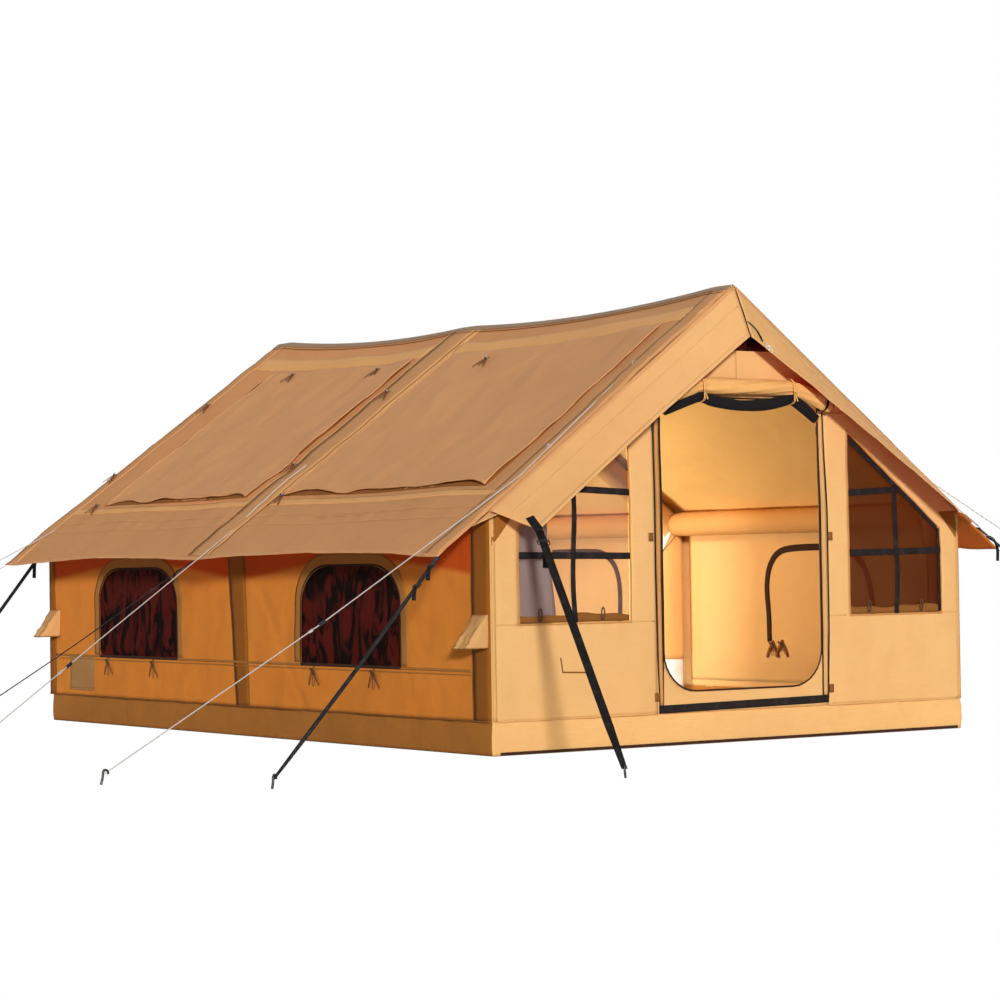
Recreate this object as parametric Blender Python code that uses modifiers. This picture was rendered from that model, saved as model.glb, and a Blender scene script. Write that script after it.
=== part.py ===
"""An inflatable cabin tent: three air beam arches joined by eave beams, canvas walls and roof, a tub
groundsheet and its guy lines, pegged out. Metres, +Z up, the door towards -Y."""

import math

import bmesh
import bpy
from mathutils import Vector

# Driving dimensions of the whole tent
FLOOR_WIDTH = 3.15
FLOOR_LENGTH = 5.0
SKIRT_HEIGHT = 0.169
EAVE_HEIGHT = 1.2166
EAVE_OVERHANG = 0.010
FRONT_RIDGE_HEIGHT = 2.40
MIDDLE_RIDGE_HEIGHT = 2.37
REAR_RIDGE_HEIGHT = 2.43
RIDGE_SAG = 0.04
REAR_LEAN = 0.228
FLAP_LENGTH = 0.375
FLAP_SCALLOP = 0.04
FABRIC = 0.003
GAP = 0.0003

# Air beams
BEAM_RADIUS = 0.075
KNEE_BEND = 0.16
PEAK_BEND = 0.18
SLEEVE_FOOT_HEIGHT = 0.34
BEAM_SIDES = 12
BEAM_BAND = 0.17

# Visors: how far the free edge stands out from the gable and how far it drops
VISOR_PEAK_REACH = 0.131
VISOR_PEAK_DROP = 0.279
VISOR_CORNER_REACH = 0.266
VISOR_CORNER_DROP = 0.1036
VISOR_CORNER_INSET = 0.116

# Door
DOOR_WIDTH = 1.11
DOOR_TOP_HEIGHT = 1.73
DOOR_OPENING_WIDTH = 1.05
DOOR_SILL_HEIGHT = 0.295
DOOR_CORNER_RADIUS = 0.19

# Front windows, their top edges given by their drop below the roof line
FRONT_WINDOW_INNER = 0.741
FRONT_WINDOW_OUTER = 1.410
FRONT_WINDOW_SILL = 0.648
FRONT_WINDOW_INNER_DROP = 0.187
FRONT_WINDOW_OUTER_DROP = 0.217
PANE_CLEARANCE = 0.0005

# Side windows
SIDE_WINDOW_SILL = 0.423
SIDE_WINDOW_HEIGHT = 0.565
SIDE_WINDOW_CORNER = 0.09
FRONT_SIDE_WINDOW_START = -1.67
REAR_SIDE_WINDOW_START = 0.78
SIDE_WINDOW_WIDTH = 1.01
SCREEN_LAP = 0.02
SCREEN_FOLD = 0.018

# Roof window covers, kept clear of the straight bands by their margins
COVER_LOW_SHARE = 0.11
COVER_HIGH_SHARE = 0.84
COVER_FRONT_MARGIN = 0.09
COVER_MIDDLE_MARGIN = 0.115
COVER_REAR_MARGIN = 0.27
COVER_LIFT = 0.0009
COVER_RIPPLE = 0.006

# Rolled door: canvas roll on top, mesh roll slung below it
ROLL_LENGTH = 1.17
ROLL_RADIUS = 0.052
ROLL_RISE = 0.12
ROLL_SAG = 0.020
ROLL_END_DROOP = 0.055
MESH_ROLL_LENGTH = 1.02
MESH_ROLL_RADIUS = 0.034
MESH_ROLL_SAG = 0.030
TIE_SPACING = 0.61
TIE_WIDTH = 0.022
TIE_PINCH_SHARE = 0.15
ROLL_END_SHARE = 0.6
ROLL_SIDES = 12

# Zip sliders
SLIDER_WIDTH = 0.014
SLIDER_DEPTH = 0.007
SLIDER_LENGTH = 0.042
DOOR_SLIDER_HEIGHT = 1.640
PORT_SLIDER_PLACE = 1.028
PORT_HEIGHT = 0.397

# Vent hoods on the left wall
HOOD_TOP_HEIGHT = 0.70
HOOD_MOUTH_HEIGHT = 0.535
HOOD_REACH = 0.19
HOOD_TOP_REACH = 0.010
HOOD_WIDTH = 0.130
FRONT_HOOD_START = -2.480
REAR_HOOD_START = 2.350

# Inflation valve on the front left bladder
VALVE_HEIGHT = 0.20
VALVE_RADIUS = 0.022
VALVE_LENGTH = 0.018
CAP_RADIUS = 0.022
CAP_THICKNESS = 0.008
VALVE_SIDES = 16

# Guy lines
ROPE_RADIUS = 0.003
STRAP_THICKNESS = 0.003
EAVE_STRAP_WIDTH = 0.025
VISOR_STRAP_WIDTH = 0.050
PEG_RADIUS = 0.006

half_width = FLOOR_WIDTH / 2
half_length = FLOOR_LENGTH / 2
eave_x = half_width + EAVE_OVERHANG
inner_x = half_width - FABRIC - GAP
wall_foot = SKIRT_HEIGHT + GAP
beam_offset = FABRIC + GAP + BEAM_RADIUS
beam_leg_x = half_width - beam_offset
steepest_slope = (max(FRONT_RIDGE_HEIGHT, MIDDLE_RIDGE_HEIGHT, REAR_RIDGE_HEIGHT) - EAVE_HEIGHT) / eave_x
lowest_ridge = min(FRONT_RIDGE_HEIGHT, MIDDLE_RIDGE_HEIGHT, REAR_RIDGE_HEIGHT) - RIDGE_SAG
ridge_inset = FABRIC * math.sin(math.atan(steepest_slope)) + GAP / 2
lean_slope = REAR_LEAN / (REAR_RIDGE_HEIGHT - EAVE_HEIGHT)
lean_angle = math.atan(lean_slope)

for old in list(bpy.data.objects):
    bpy.data.objects.remove(old, do_unlink=True)
tent = bpy.data.collections.new("inflatable_tent")
bpy.context.scene.collection.children.link(tent)


def material(name, color, roughness):
    """A plain cloth, film or plastic surface."""
    made = bpy.data.materials.new(name)
    made.use_nodes = True
    surface = made.node_tree.nodes["Principled BSDF"]
    surface.inputs["Base Color"].default_value = (*color, 1)
    surface.inputs["Roughness"].default_value = roughness
    made.diffuse_color = (*color, 1)
    return made


canvas = material("sand_canvas", (0.73, 0.46, 0.20), 0.9)
roof_canvas = material("roof_canvas", (0.60, 0.38, 0.20), 0.9)
cover_canvas = material("cover_canvas", (0.52, 0.33, 0.18), 0.9)
tub_film = material("tub_film", (0.42, 0.25, 0.12), 0.7)
bladder_film = material("white_bladder", (0.85, 0.85, 0.82), 0.35)
mesh_cloth = material("black_mesh", (0.03, 0.02, 0.02), 0.8)
black_webbing = material("black_webbing", (0.02, 0.02, 0.02), 0.7)
dark_plastic = material("dark_plastic", (0.03, 0.03, 0.03), 0.4)
light_cord = material("light_cord", (0.75, 0.68, 0.58), 0.8)


def place(name, data, surface, location=(0, 0, 0), rotation=(0, 0, 0)):
    """A named object of the tent at its place."""
    made = bpy.data.objects.new(name, data)
    made.location = location
    made.rotation_euler = rotation
    made.data.materials.append(surface)
    tent.objects.link(made)
    return made


def shade_round(mesh):
    mesh.shade_smooth()
    mesh.set_sharp_from_angle(angle=math.radians(40))


def thicken(made, side, thickness=FABRIC):
    """Gives an open surface its thickness, towards side times its own normal."""
    solid = made.modifiers.new("thickness", "SOLIDIFY")
    solid.thickness = thickness
    solid.offset = side
    solid.use_even_offset = True


def sheet(name, point, columns, rows, side, surface, origin=(0, 0, 0)):
    """A cloth sheet through point(across, up), both shares from 0 to 1."""
    mesh = bpy.data.meshes.new(name)
    shape = bmesh.new()
    bmesh.ops.create_grid(shape, x_segments=columns, y_segments=rows, size=0.5)
    for vertex in shape.verts:
        across = min(max(vertex.co.x + 0.5, 0), 1)
        up = min(max(vertex.co.y + 0.5, 0), 1)
        vertex.co = Vector(point(across, up)) - Vector(origin)
    shape.to_mesh(mesh)
    shape.free()
    shade_round(mesh)
    made = place(name, mesh, surface, origin)
    thicken(made, side)
    return made


def tube(name, points, radius, sides, surface, radii=None, capped=True):
    """A round tube along straight runs between points, radii as shares of radius."""
    curve = bpy.data.curves.new(name, "CURVE")
    curve.dimensions = "3D"
    curve.fill_mode = "FULL"
    curve.bevel_depth = radius
    curve.bevel_resolution = (sides - 4) // 2
    curve.use_fill_caps = capped
    spline = curve.splines.new("POLY")
    spline.points.add(len(points) - 1)
    for index, point in enumerate(points):
        spline.points[index].co = (*point, 1)
        spline.points[index].radius = radii[index] if radii else 1
    return place(name, curve, surface)


def panel(name, outlines, surface, location, rotation, thickness=FABRIC):
    """A flat panel: its outline and the openings cut in it, all drawn in the panel's own plane."""
    curve = bpy.data.curves.new(name, "CURVE")
    curve.dimensions = "2D"
    curve.fill_mode = "BOTH"
    curve.extrude = thickness / 2
    for outline in outlines:
        spline = curve.splines.new("POLY")
        spline.points.add(len(outline) - 1)
        for index, (across, up) in enumerate(outline):
            spline.points[index].co = (across, up, 0, 1)
        spline.use_cyclic_u = True
    return place(name, curve, surface, location, rotation)


def block(name, size, surface, location, bevel):
    """A small block with rounded edges."""
    mesh = bpy.data.meshes.new(name)
    shape = bmesh.new()
    bmesh.ops.create_cube(shape, size=1)
    bmesh.ops.scale(shape, vec=size, verts=shape.verts)
    shape.to_mesh(mesh)
    shape.free()
    made = place(name, mesh, surface, location)
    rounding = made.modifiers.new("rounding", "BEVEL")
    rounding.width = bevel
    rounding.segments = 2
    return made


def turned(name, radius, length, sides, surface, location, rotation):
    """A plain cylinder centred on its location."""
    mesh = bpy.data.meshes.new(name)
    shape = bmesh.new()
    bmesh.ops.create_cone(
        shape, cap_ends=True, segments=sides, radius1=radius, radius2=radius, depth=length
    )
    shape.to_mesh(mesh)
    shape.free()
    shade_round(mesh)
    return place(name, mesh, surface, location, rotation)


def arc(centre, radius, start, turn, steps):
    """Points along an arc in a panel's plane, from the angle start round by turn."""
    across, up = centre
    angles = [start + turn * step / steps for step in range(steps + 1)]
    return [(across + radius * math.cos(angle), up + radius * math.sin(angle)) for angle in angles]


def fillet(corners, radii, steps):
    """The corners of an open path with each inner corner rounded by its radius."""
    path = [Vector(corners[0])]
    for index in range(1, len(corners) - 1):
        corner = Vector(corners[index])
        before = (Vector(corners[index - 1]) - corner).normalized()
        after = (Vector(corners[index + 1]) - corner).normalized()
        half_angle = before.angle(after) / 2
        reach = radii[index - 1] / math.tan(half_angle)
        middle = corner + (before + after).normalized() * radii[index - 1] / math.sin(half_angle)
        start = corner + before * reach - middle
        turn = math.pi - 2 * half_angle
        sideways = (-before - start.normalized() * start.normalized().dot(-before)).normalized()
        for step in range(steps + 1):
            angle = turn * step / steps
            path.append(middle + start * math.cos(angle) + sideways * start.length * math.sin(angle))
    path.append(Vector(corners[-1]))
    return path


# The roof: its stations along the tent, as shares of each bay between the straight bands
bay_shares = [0, 0.12, 0.28, 0.5, 0.72, 0.88, 1]
end_band = BEAM_BAND
middle_band = BEAM_BAND / 2


def sag_at(share):
    return RIDGE_SAG * 4 * share * (1 - share)


def roof_stations():
    """Each station: its y at the eave, its y at the ridge, the ridge height and the flap length."""
    stations = [(-half_length, -half_length, FRONT_RIDGE_HEIGHT, FLAP_LENGTH)]
    bays = (
        (-half_length + end_band, -half_length + end_band, -middle_band, -middle_band,
         FRONT_RIDGE_HEIGHT, MIDDLE_RIDGE_HEIGHT),
        (middle_band, middle_band, half_length - end_band, half_length - end_band - REAR_LEAN,
         MIDDLE_RIDGE_HEIGHT, REAR_RIDGE_HEIGHT),
    )
    for eave_start, ridge_start, eave_end, ridge_end, height_start, height_end in bays:
        for share in bay_shares:
            stations.append((
                eave_start + (eave_end - eave_start) * share,
                ridge_start + (ridge_end - ridge_start) * share,
                height_start + (height_end - height_start) * share - sag_at(share),
                FLAP_LENGTH - FLAP_SCALLOP * 4 * share * (1 - share),
            ))
    stations.append((half_length, half_length - REAR_LEAN, REAR_RIDGE_HEIGHT, FLAP_LENGTH))
    return stations


stations = roof_stations()
slope_rows = 7


def station_point(side, station, share):
    """A point of the roof's outer face at a station, share 0 at the eave and 1 at the ridge."""
    eave_y, ridge_y, ridge_z, _ = station
    return Vector((
        side * eave_x * (1 - share),
        eave_y + (ridge_y - eave_y) * max(share, 0),
        EAVE_HEIGHT + (ridge_z - EAVE_HEIGHT) * share,
    ))


def flap_share(station):
    return -station[3] / math.hypot(eave_x, station[2] - EAVE_HEIGHT)


def roof_slope(name, side):
    top_share = 1 - ridge_inset / eave_x

    def point(across, up):
        station = stations[round(across * (len(stations) - 1))]
        row = round(up * slope_rows)
        if row == 0:
            return station_point(side, station, flap_share(station))
        return station_point(side, station, top_share * (row - 1) / (slope_rows - 1))

    sheet(name, point, len(stations) - 1, slope_rows, -side, roof_canvas)


def roof_height(y, share):
    """The height of the roof's outer face over the point at y, share up the slope."""
    place_at = [station[0] + (station[1] - station[0]) * max(share, 0) for station in stations]
    for index in range(len(stations) - 1):
        if place_at[index] <= y <= place_at[index + 1]:
            part = (y - place_at[index]) / (place_at[index + 1] - place_at[index])
            ridge_z = stations[index][2] + (stations[index + 1][2] - stations[index][2]) * part
            return EAVE_HEIGHT + (ridge_z - EAVE_HEIGHT) * share
    return EAVE_HEIGHT


roof_slope("roof_left", -1)
roof_slope("roof_right", 1)


# Roof window covers, each sewn along its upper edge
cover_columns = 12
cover_rows = 8


def roof_cover(name, side, start, end):
    slope_angle = math.atan(steepest_slope)
    outward = Vector((side * math.sin(slope_angle), 0, math.cos(slope_angle)))
    seam_z = (roof_height(start, COVER_HIGH_SHARE) + roof_height(end, COVER_HIGH_SHARE)) / 2
    hinge = Vector((side * eave_x * (1 - COVER_HIGH_SHARE), (start + end) / 2, seam_z))
    hinge = hinge + outward * COVER_LIFT

    def point(across, up):
        y = start + (end - start) * across
        share = COVER_LOW_SHARE + (COVER_HIGH_SHARE - COVER_LOW_SHARE) * up
        on_roof = Vector((side * eave_x * (1 - share), y, roof_height(y, share)))
        ripple = math.sin(3 * math.pi * across + math.pi * up) ** 2 * math.sin(math.pi * up)
        return on_roof + outward * (COVER_LIFT + COVER_RIPPLE * ripple * math.sin(math.pi * across))

    sheet(name, point, cover_columns, cover_rows, side, cover_canvas, hinge)


front_cover_start = -half_length + end_band + COVER_FRONT_MARGIN
front_cover_end = -middle_band - COVER_MIDDLE_MARGIN
rear_cover_start = middle_band + COVER_MIDDLE_MARGIN
rear_cover_end = half_length - end_band - COVER_REAR_MARGIN
for side, side_name in ((-1, "left"), (1, "right")):
    roof_cover(f"roof_cover_{side_name}_front", side, front_cover_start, front_cover_end)
    roof_cover(f"roof_cover_{side_name}_rear", side, rear_cover_start, rear_cover_end)


# Gable visors, sewn to the ends of the roof
def visor(name, side, end, ridge_z, lean):
    """side is -1 for the left half, end is -1 at the front gable."""
    root_peak = Vector((side * ridge_inset, end * (half_length - lean + GAP + FABRIC), ridge_z))
    root_low = Vector((side * eave_x, end * (half_length + GAP + FABRIC), EAVE_HEIGHT))
    free_peak = root_peak + Vector((0, end * VISOR_PEAK_REACH, -VISOR_PEAK_DROP))
    corner_move = (-side * VISOR_CORNER_INSET, end * VISOR_CORNER_REACH, -VISOR_CORNER_DROP)
    free_low = root_low + Vector(corner_move)

    def point(across, up):
        root = root_low.lerp(root_peak, across)
        free = free_low.lerp(free_peak, across)
        return free.lerp(root, up)

    sheet(name, point, 8, 2, -side * end, canvas)


for side, side_name in ((-1, "left"), (1, "right")):
    visor(f"front_visor_{side_name}", side, -1, FRONT_RIDGE_HEIGHT, 0)
    visor(f"rear_visor_{side_name}", side, 1, REAR_RIDGE_HEIGHT, REAR_LEAN)


# Tub groundsheet
def groundsheet():
    mesh = bpy.data.meshes.new("groundsheet")
    shape = bmesh.new()
    bmesh.ops.create_cube(shape, size=1)
    bmesh.ops.scale(shape, vec=(FLOOR_WIDTH, FLOOR_LENGTH, SKIRT_HEIGHT), verts=shape.verts)
    bmesh.ops.translate(shape, vec=(0, 0, SKIRT_HEIGHT / 2), verts=shape.verts)
    top = [face for face in shape.faces if face.normal.z > 0.5]
    bmesh.ops.delete(shape, geom=top, context="FACES_ONLY")
    shape.to_mesh(mesh)
    shape.free()
    thicken(place("groundsheet", mesh, tub_film), -1)


groundsheet()


# Side walls, drawn in their own plane as y and z
wall_rotation = (math.pi / 2, 0, math.pi / 2)
side_wall_top = (
    EAVE_HEIGHT
    + (lowest_ridge - EAVE_HEIGHT) * EAVE_OVERHANG / eave_x
    - (FABRIC + GAP) / math.cos(math.atan(steepest_slope))
)
side_windows = (FRONT_SIDE_WINDOW_START, REAR_SIDE_WINDOW_START)
quarter_turn = math.pi / 2
window_corner_steps = 4


def rounded_window(start, clearance=0):
    """The outline of a side window with its two upper corners rounded."""
    low = SIDE_WINDOW_SILL + clearance
    high = SIDE_WINDOW_SILL + SIDE_WINDOW_HEIGHT - clearance
    near = start + clearance
    far = start + SIDE_WINDOW_WIDTH - clearance
    radius = SIDE_WINDOW_CORNER
    return [
        (near, low),
        (far, low),
        *arc((far - radius, high - radius), radius, 0, quarter_turn, window_corner_steps),
        *arc((near + radius, high - radius), radius, quarter_turn, quarter_turn, window_corner_steps),
    ]


for side, side_name in ((-1, "left"), (1, "right")):
    outline = [
        (-half_length, wall_foot),
        (half_length, wall_foot),
        (half_length, side_wall_top),
        (-half_length, side_wall_top),
    ]
    openings = [rounded_window(start) for start in side_windows]
    location = (side * (half_width - FABRIC / 2), 0, 0)
    panel(f"{side_name}_wall", [outline, *openings], canvas, location, wall_rotation)


# Side window screens, hung inside the walls with soft upright folds
screen_columns = 12
screen_rows = 5


def window_screen(name, side, start):
    def point(across, up):
        y = start - SCREEN_LAP + (SIDE_WINDOW_WIDTH + 2 * SCREEN_LAP) * across
        z = SIDE_WINDOW_SILL - SCREEN_LAP + (SIDE_WINDOW_HEIGHT + 2 * SCREEN_LAP) * up
        fold = math.sin(4 * math.pi * across + 1.5 * math.pi * up) ** 2
        fold *= math.sin(math.pi * across) * math.sin(math.pi * up)
        return (side * (inner_x - SCREEN_FOLD * fold), y, z)

    sheet(name, point, screen_columns, screen_rows, -side, mesh_cloth)


for side, side_name in ((-1, "left"), (1, "right")):
    window_screen(f"window_screen_{side_name}_front", side, FRONT_SIDE_WINDOW_START)
    window_screen(f"window_screen_{side_name}_rear", side, REAR_SIDE_WINDOW_START)


# End walls, drawn in their own plane as x and z
end_rotation = (math.pi / 2, 0, 0)
front_slope = (FRONT_RIDGE_HEIGHT - EAVE_HEIGHT) / eave_x
rear_slope = (REAR_RIDGE_HEIGHT - EAVE_HEIGHT) / eave_x
door_edge = DOOR_WIDTH / 2
front_place = (0, -half_length + FABRIC / 2, 0)


def gable_top(x, ridge_z, slope):
    """The height of an end wall's top under the roof."""
    return ridge_z - abs(x) * slope - (FABRIC + GAP) / math.cos(math.atan(slope))


def front_window(side, clearance=0):
    inner = FRONT_WINDOW_INNER + clearance
    outer = FRONT_WINDOW_OUTER - clearance
    inner_top = FRONT_RIDGE_HEIGHT - FRONT_WINDOW_INNER * front_slope - FRONT_WINDOW_INNER_DROP
    outer_top = FRONT_RIDGE_HEIGHT - FRONT_WINDOW_OUTER * front_slope - FRONT_WINDOW_OUTER_DROP
    fall = (inner_top - outer_top) / (FRONT_WINDOW_OUTER - FRONT_WINDOW_INNER)
    drop = clearance * (fall + math.hypot(1, fall))
    return [
        (side * inner, FRONT_WINDOW_SILL + clearance),
        (side * outer, FRONT_WINDOW_SILL + clearance),
        (side * outer, outer_top + clearance * (2 * fall) - drop),
        (side * inner, inner_top - drop),
    ]


for side, side_name in ((-1, "left"), (1, "right")):
    near = side * (door_edge + GAP / 2)
    far = side * inner_x
    outline = [
        (near, wall_foot),
        (far, wall_foot),
        (far, gable_top(far, FRONT_RIDGE_HEIGHT, front_slope)),
        (near, gable_top(near, FRONT_RIDGE_HEIGHT, front_slope)),
    ]
    panel(f"front_wall_{side_name}", [outline, front_window(side)], canvas, front_place, end_rotation)
    pane = front_window(side, PANE_CLEARANCE)
    panel(f"front_window_{side_name}", [pane], mesh_cloth, front_place, end_rotation)


door_corner_steps = 6


def door_opening():
    edge = DOOR_OPENING_WIDTH / 2
    radius = DOOR_CORNER_RADIUS
    corner_z = DOOR_SILL_HEIGHT + radius
    return [
        (-edge, DOOR_TOP_HEIGHT),
        *arc((radius - edge, corner_z), radius, math.pi, quarter_turn, door_corner_steps),
        *arc((edge - radius, corner_z), radius, math.pi + quarter_turn, quarter_turn, door_corner_steps),
        (edge, DOOR_TOP_HEIGHT),
    ]


centre_edge = door_edge - GAP / 2
centre_outline = [
    (-centre_edge, wall_foot),
    (centre_edge, wall_foot),
    (centre_edge, gable_top(centre_edge, FRONT_RIDGE_HEIGHT, front_slope)),
    (0, gable_top(0, FRONT_RIDGE_HEIGHT, front_slope)),
    (-centre_edge, gable_top(centre_edge, FRONT_RIDGE_HEIGHT, front_slope)),
]
panel("front_wall_centre", [centre_outline, door_opening()], canvas, front_place, end_rotation)


rear_wall_columns = 2


def rear_wall():
    """Upright to the eaves, then leaning in with the rear arch."""

    def point(across, up):
        x = (-inner_x, 0, inner_x)[round(across * rear_wall_columns)]
        top = gable_top(x, REAR_RIDGE_HEIGHT, rear_slope)
        z = (wall_foot, EAVE_HEIGHT, top)[round(up * rear_wall_columns)]
        return (x, half_length - lean_slope * max(z - EAVE_HEIGHT, 0), z)

    sheet("rear_wall", point, rear_wall_columns, rear_wall_columns, 1, canvas)


rear_wall()


# Air beam arches: a leg, a knee, two rafters meeting at the peak, and back down
lean_start_z = EAVE_HEIGHT - beam_offset * math.tan(lean_angle / 2)


def arch_path(foot, ridge_z, base_y, lean):
    slope = (ridge_z - EAVE_HEIGHT) / eave_x
    steep = math.hypot(1, slope)
    knee_z = EAVE_HEIGHT + slope * (eave_x - beam_leg_x) - beam_offset * steep
    peak_z = ridge_z - beam_offset * steep
    corners = [
        (-beam_leg_x, 0, foot),
        (-beam_leg_x, 0, knee_z),
        (0, 0, peak_z),
        (beam_leg_x, 0, knee_z),
        (beam_leg_x, 0, foot),
    ]
    path = fillet(corners, (KNEE_BEND, PEAK_BEND, KNEE_BEND), 6)
    for point in path:
        point.y = base_y - lean * max(point.z - lean_start_z, 0)
    return path


even_thickness = (FABRIC + GAP) / math.cos(math.pi / BEAM_SIDES)
bladder_radius = BEAM_RADIUS - even_thickness
end_arch_y = half_length - beam_offset
arches = (
    ("front", FRONT_RIDGE_HEIGHT, -end_arch_y, 0),
    ("middle", MIDDLE_RIDGE_HEIGHT, 0, 0),
    ("rear", REAR_RIDGE_HEIGHT, end_arch_y, lean_slope),
)


def beam_sleeve(name, path):
    """An open cloth tube round a bladder."""
    guide = tube(name + "_guide", path, BEAM_RADIUS, BEAM_SIDES, canvas, capped=False)
    bpy.context.view_layer.update()
    evaluated = guide.evaluated_get(bpy.context.evaluated_depsgraph_get())
    mesh = bpy.data.meshes.new_from_object(evaluated)
    bpy.data.objects.remove(guide, do_unlink=True)
    mesh.materials.clear()
    shade_round(mesh)
    thicken(place(name, mesh, canvas), -1)


for arch_name, ridge_z, base_y, lean in arches:
    tube(
        f"air_bladder_{arch_name}",
        arch_path(FABRIC + GAP, ridge_z, base_y, lean),
        bladder_radius,
        BEAM_SIDES,
        bladder_film,
    )
    beam_sleeve(f"beam_sleeve_{arch_name}", arch_path(SLEEVE_FOOT_HEIGHT, ridge_z, base_y, lean))

eave_beam_slope = (lowest_ridge - EAVE_HEIGHT) / eave_x
eave_beam_z = (
    EAVE_HEIGHT + eave_beam_slope * (eave_x - beam_leg_x) - beam_offset * math.hypot(1, eave_beam_slope)
)
arch_side = BEAM_RADIUS + GAP
rear_arch_lean = lean_slope * max(eave_beam_z + BEAM_RADIUS - lean_start_z, 0)
eave_beam_ends = (
    ("front", -end_arch_y + arch_side, -arch_side),
    ("rear", arch_side, end_arch_y - arch_side - rear_arch_lean),
)
for side, side_name in ((-1, "left"), (1, "right")):
    for end_name, start, end in eave_beam_ends:
        turned(
            f"eave_beam_{side_name}_{end_name}",
            BEAM_RADIUS,
            end - start,
            BEAM_SIDES,
            canvas,
            (side * beam_leg_x, (start + end) / 2, eave_beam_z),
            (math.pi / 2, 0, 0),
        )


# The rolled canvas door and the rolled mesh door, held by two ties
tie_x = TIE_SPACING / 2
roll_height = DOOR_TOP_HEIGHT + ROLL_RISE
roll_y = -half_length - 2 * GAP - FABRIC - ROLL_RADIUS
roll_slope = max(ROLL_END_DROOP / (ROLL_LENGTH / 2 - tie_x), 4 * MESH_ROLL_SAG / TIE_SPACING)
mesh_roll_z = roll_height - (ROLL_RADIUS + MESH_ROLL_RADIUS) * math.hypot(1, roll_slope) - 2 * GAP
roll_steps = 24


def hang(x, sag):
    """How far a roll held at the two ties hangs down at x."""
    share = (x + tie_x) / TIE_SPACING
    if 0 <= share <= 1:
        return sag * 4 * share * (1 - share)
    return ROLL_END_DROOP * (abs(x) - tie_x) / (ROLL_LENGTH / 2 - tie_x)


def pinch(x):
    """The share of its full radius that a roll has at x."""
    nearness = math.exp(-((abs(x) - tie_x) / (2 * TIE_WIDTH)) ** 2)
    return 1 - TIE_PINCH_SHARE * nearness


def door_roll(name, length, radius, z, sag, surface):
    xs = [length * (step / roll_steps - 0.5) for step in range(roll_steps + 1)]
    points = [(x, roll_y, z - hang(x, sag)) for x in xs]
    radii = [pinch(x) * (1 if abs(x) < length / 2 else ROLL_END_SHARE) for x in xs]
    tube(name, points, radius, ROLL_SIDES, surface, radii)


door_roll("door_roll", ROLL_LENGTH, ROLL_RADIUS, roll_height, ROLL_SAG, canvas)
door_roll("door_screen_roll", MESH_ROLL_LENGTH, MESH_ROLL_RADIUS, mesh_roll_z, MESH_ROLL_SAG, mesh_cloth)


tie_turn_steps = 8


def tie_outline(reach):
    """A long loop round both rolls, reach outside the canvas roll's surface."""
    radius = ROLL_RADIUS + reach
    low = mesh_roll_z - roll_height - MESH_ROLL_RADIUS + ROLL_RADIUS
    return [
        *arc((0, 0), radius, 0, math.pi, tie_turn_steps),
        *arc((0, low), radius, math.pi, math.pi, tie_turn_steps),
    ]


for side, side_name in ((-1, "left"), (1, "right")):
    panel(
        f"door_tie_{side_name}",
        [tie_outline(GAP + FABRIC), tie_outline(GAP)],
        canvas,
        (side * tie_x, roll_y, roll_height),
        wall_rotation,
        TIE_WIDTH,
    )


# Zip sliders, riding on the outer faces of the zips
slider_y = -half_length - GAP - SLIDER_DEPTH / 2
slider_bevel = SLIDER_DEPTH / 4
for side, side_name in ((-1, "left"), (1, "right")):
    block(
        f"door_zip_slider_{side_name}",
        (SLIDER_WIDTH, SLIDER_DEPTH, SLIDER_LENGTH),
        dark_plastic,
        (side * door_edge, slider_y, DOOR_SLIDER_HEIGHT),
        slider_bevel,
    )
block(
    "cable_port_slider",
    (SLIDER_LENGTH, SLIDER_DEPTH, SLIDER_WIDTH),
    dark_plastic,
    (-PORT_SLIDER_PLACE, slider_y, PORT_HEIGHT),
    slider_bevel,
)


# Vent hoods: scoops open below, sewn to the left wall
def vent_hood(name, start):
    wall_x = -half_width - GAP
    top_x = wall_x - HOOD_TOP_REACH
    mouth_x = wall_x - HOOD_REACH
    mesh = bpy.data.meshes.new(name)
    shape = bmesh.new()
    bmesh.ops.create_cube(shape, size=1)
    for vertex in shape.verts:
        high = vertex.co.z > 0
        outer_x = top_x if high else mouth_x
        vertex.co = (
            wall_x if vertex.co.x > 0 else outer_x,
            start + HOOD_WIDTH * (vertex.co.y + 0.5),
            HOOD_TOP_HEIGHT if high else HOOD_MOUTH_HEIGHT,
        )
    shape.normal_update()
    open_faces = [face for face in shape.faces if face.normal.z < -0.99 or face.normal.x > 0.99]
    bmesh.ops.delete(shape, geom=open_faces, context="FACES_ONLY")
    shape.to_mesh(mesh)
    shape.free()
    thicken(place(name, mesh, canvas), -1)


vent_hood("vent_hood_front", FRONT_HOOD_START)
vent_hood("vent_hood_rear", REAR_HOOD_START)


# Inflation valve and its hinged cap, facing inwards at the foot of the front left leg
sideways_turn = (0, math.pi / 2, 0)
valve_x = -beam_leg_x + bladder_radius + GAP + VALVE_LENGTH / 2
cap_x = valve_x + VALVE_LENGTH / 2 + GAP + CAP_THICKNESS / 2
for name, radius, length, place_x in (
    ("inflation_valve", VALVE_RADIUS, VALVE_LENGTH, valve_x),
    ("valve_cap", CAP_RADIUS, CAP_THICKNESS, cap_x),
):
    centre = (place_x, -end_arch_y, VALVE_HEIGHT)
    turned(name, radius, length, VALVE_SIDES, dark_plastic, centre, sideways_turn)


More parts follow.
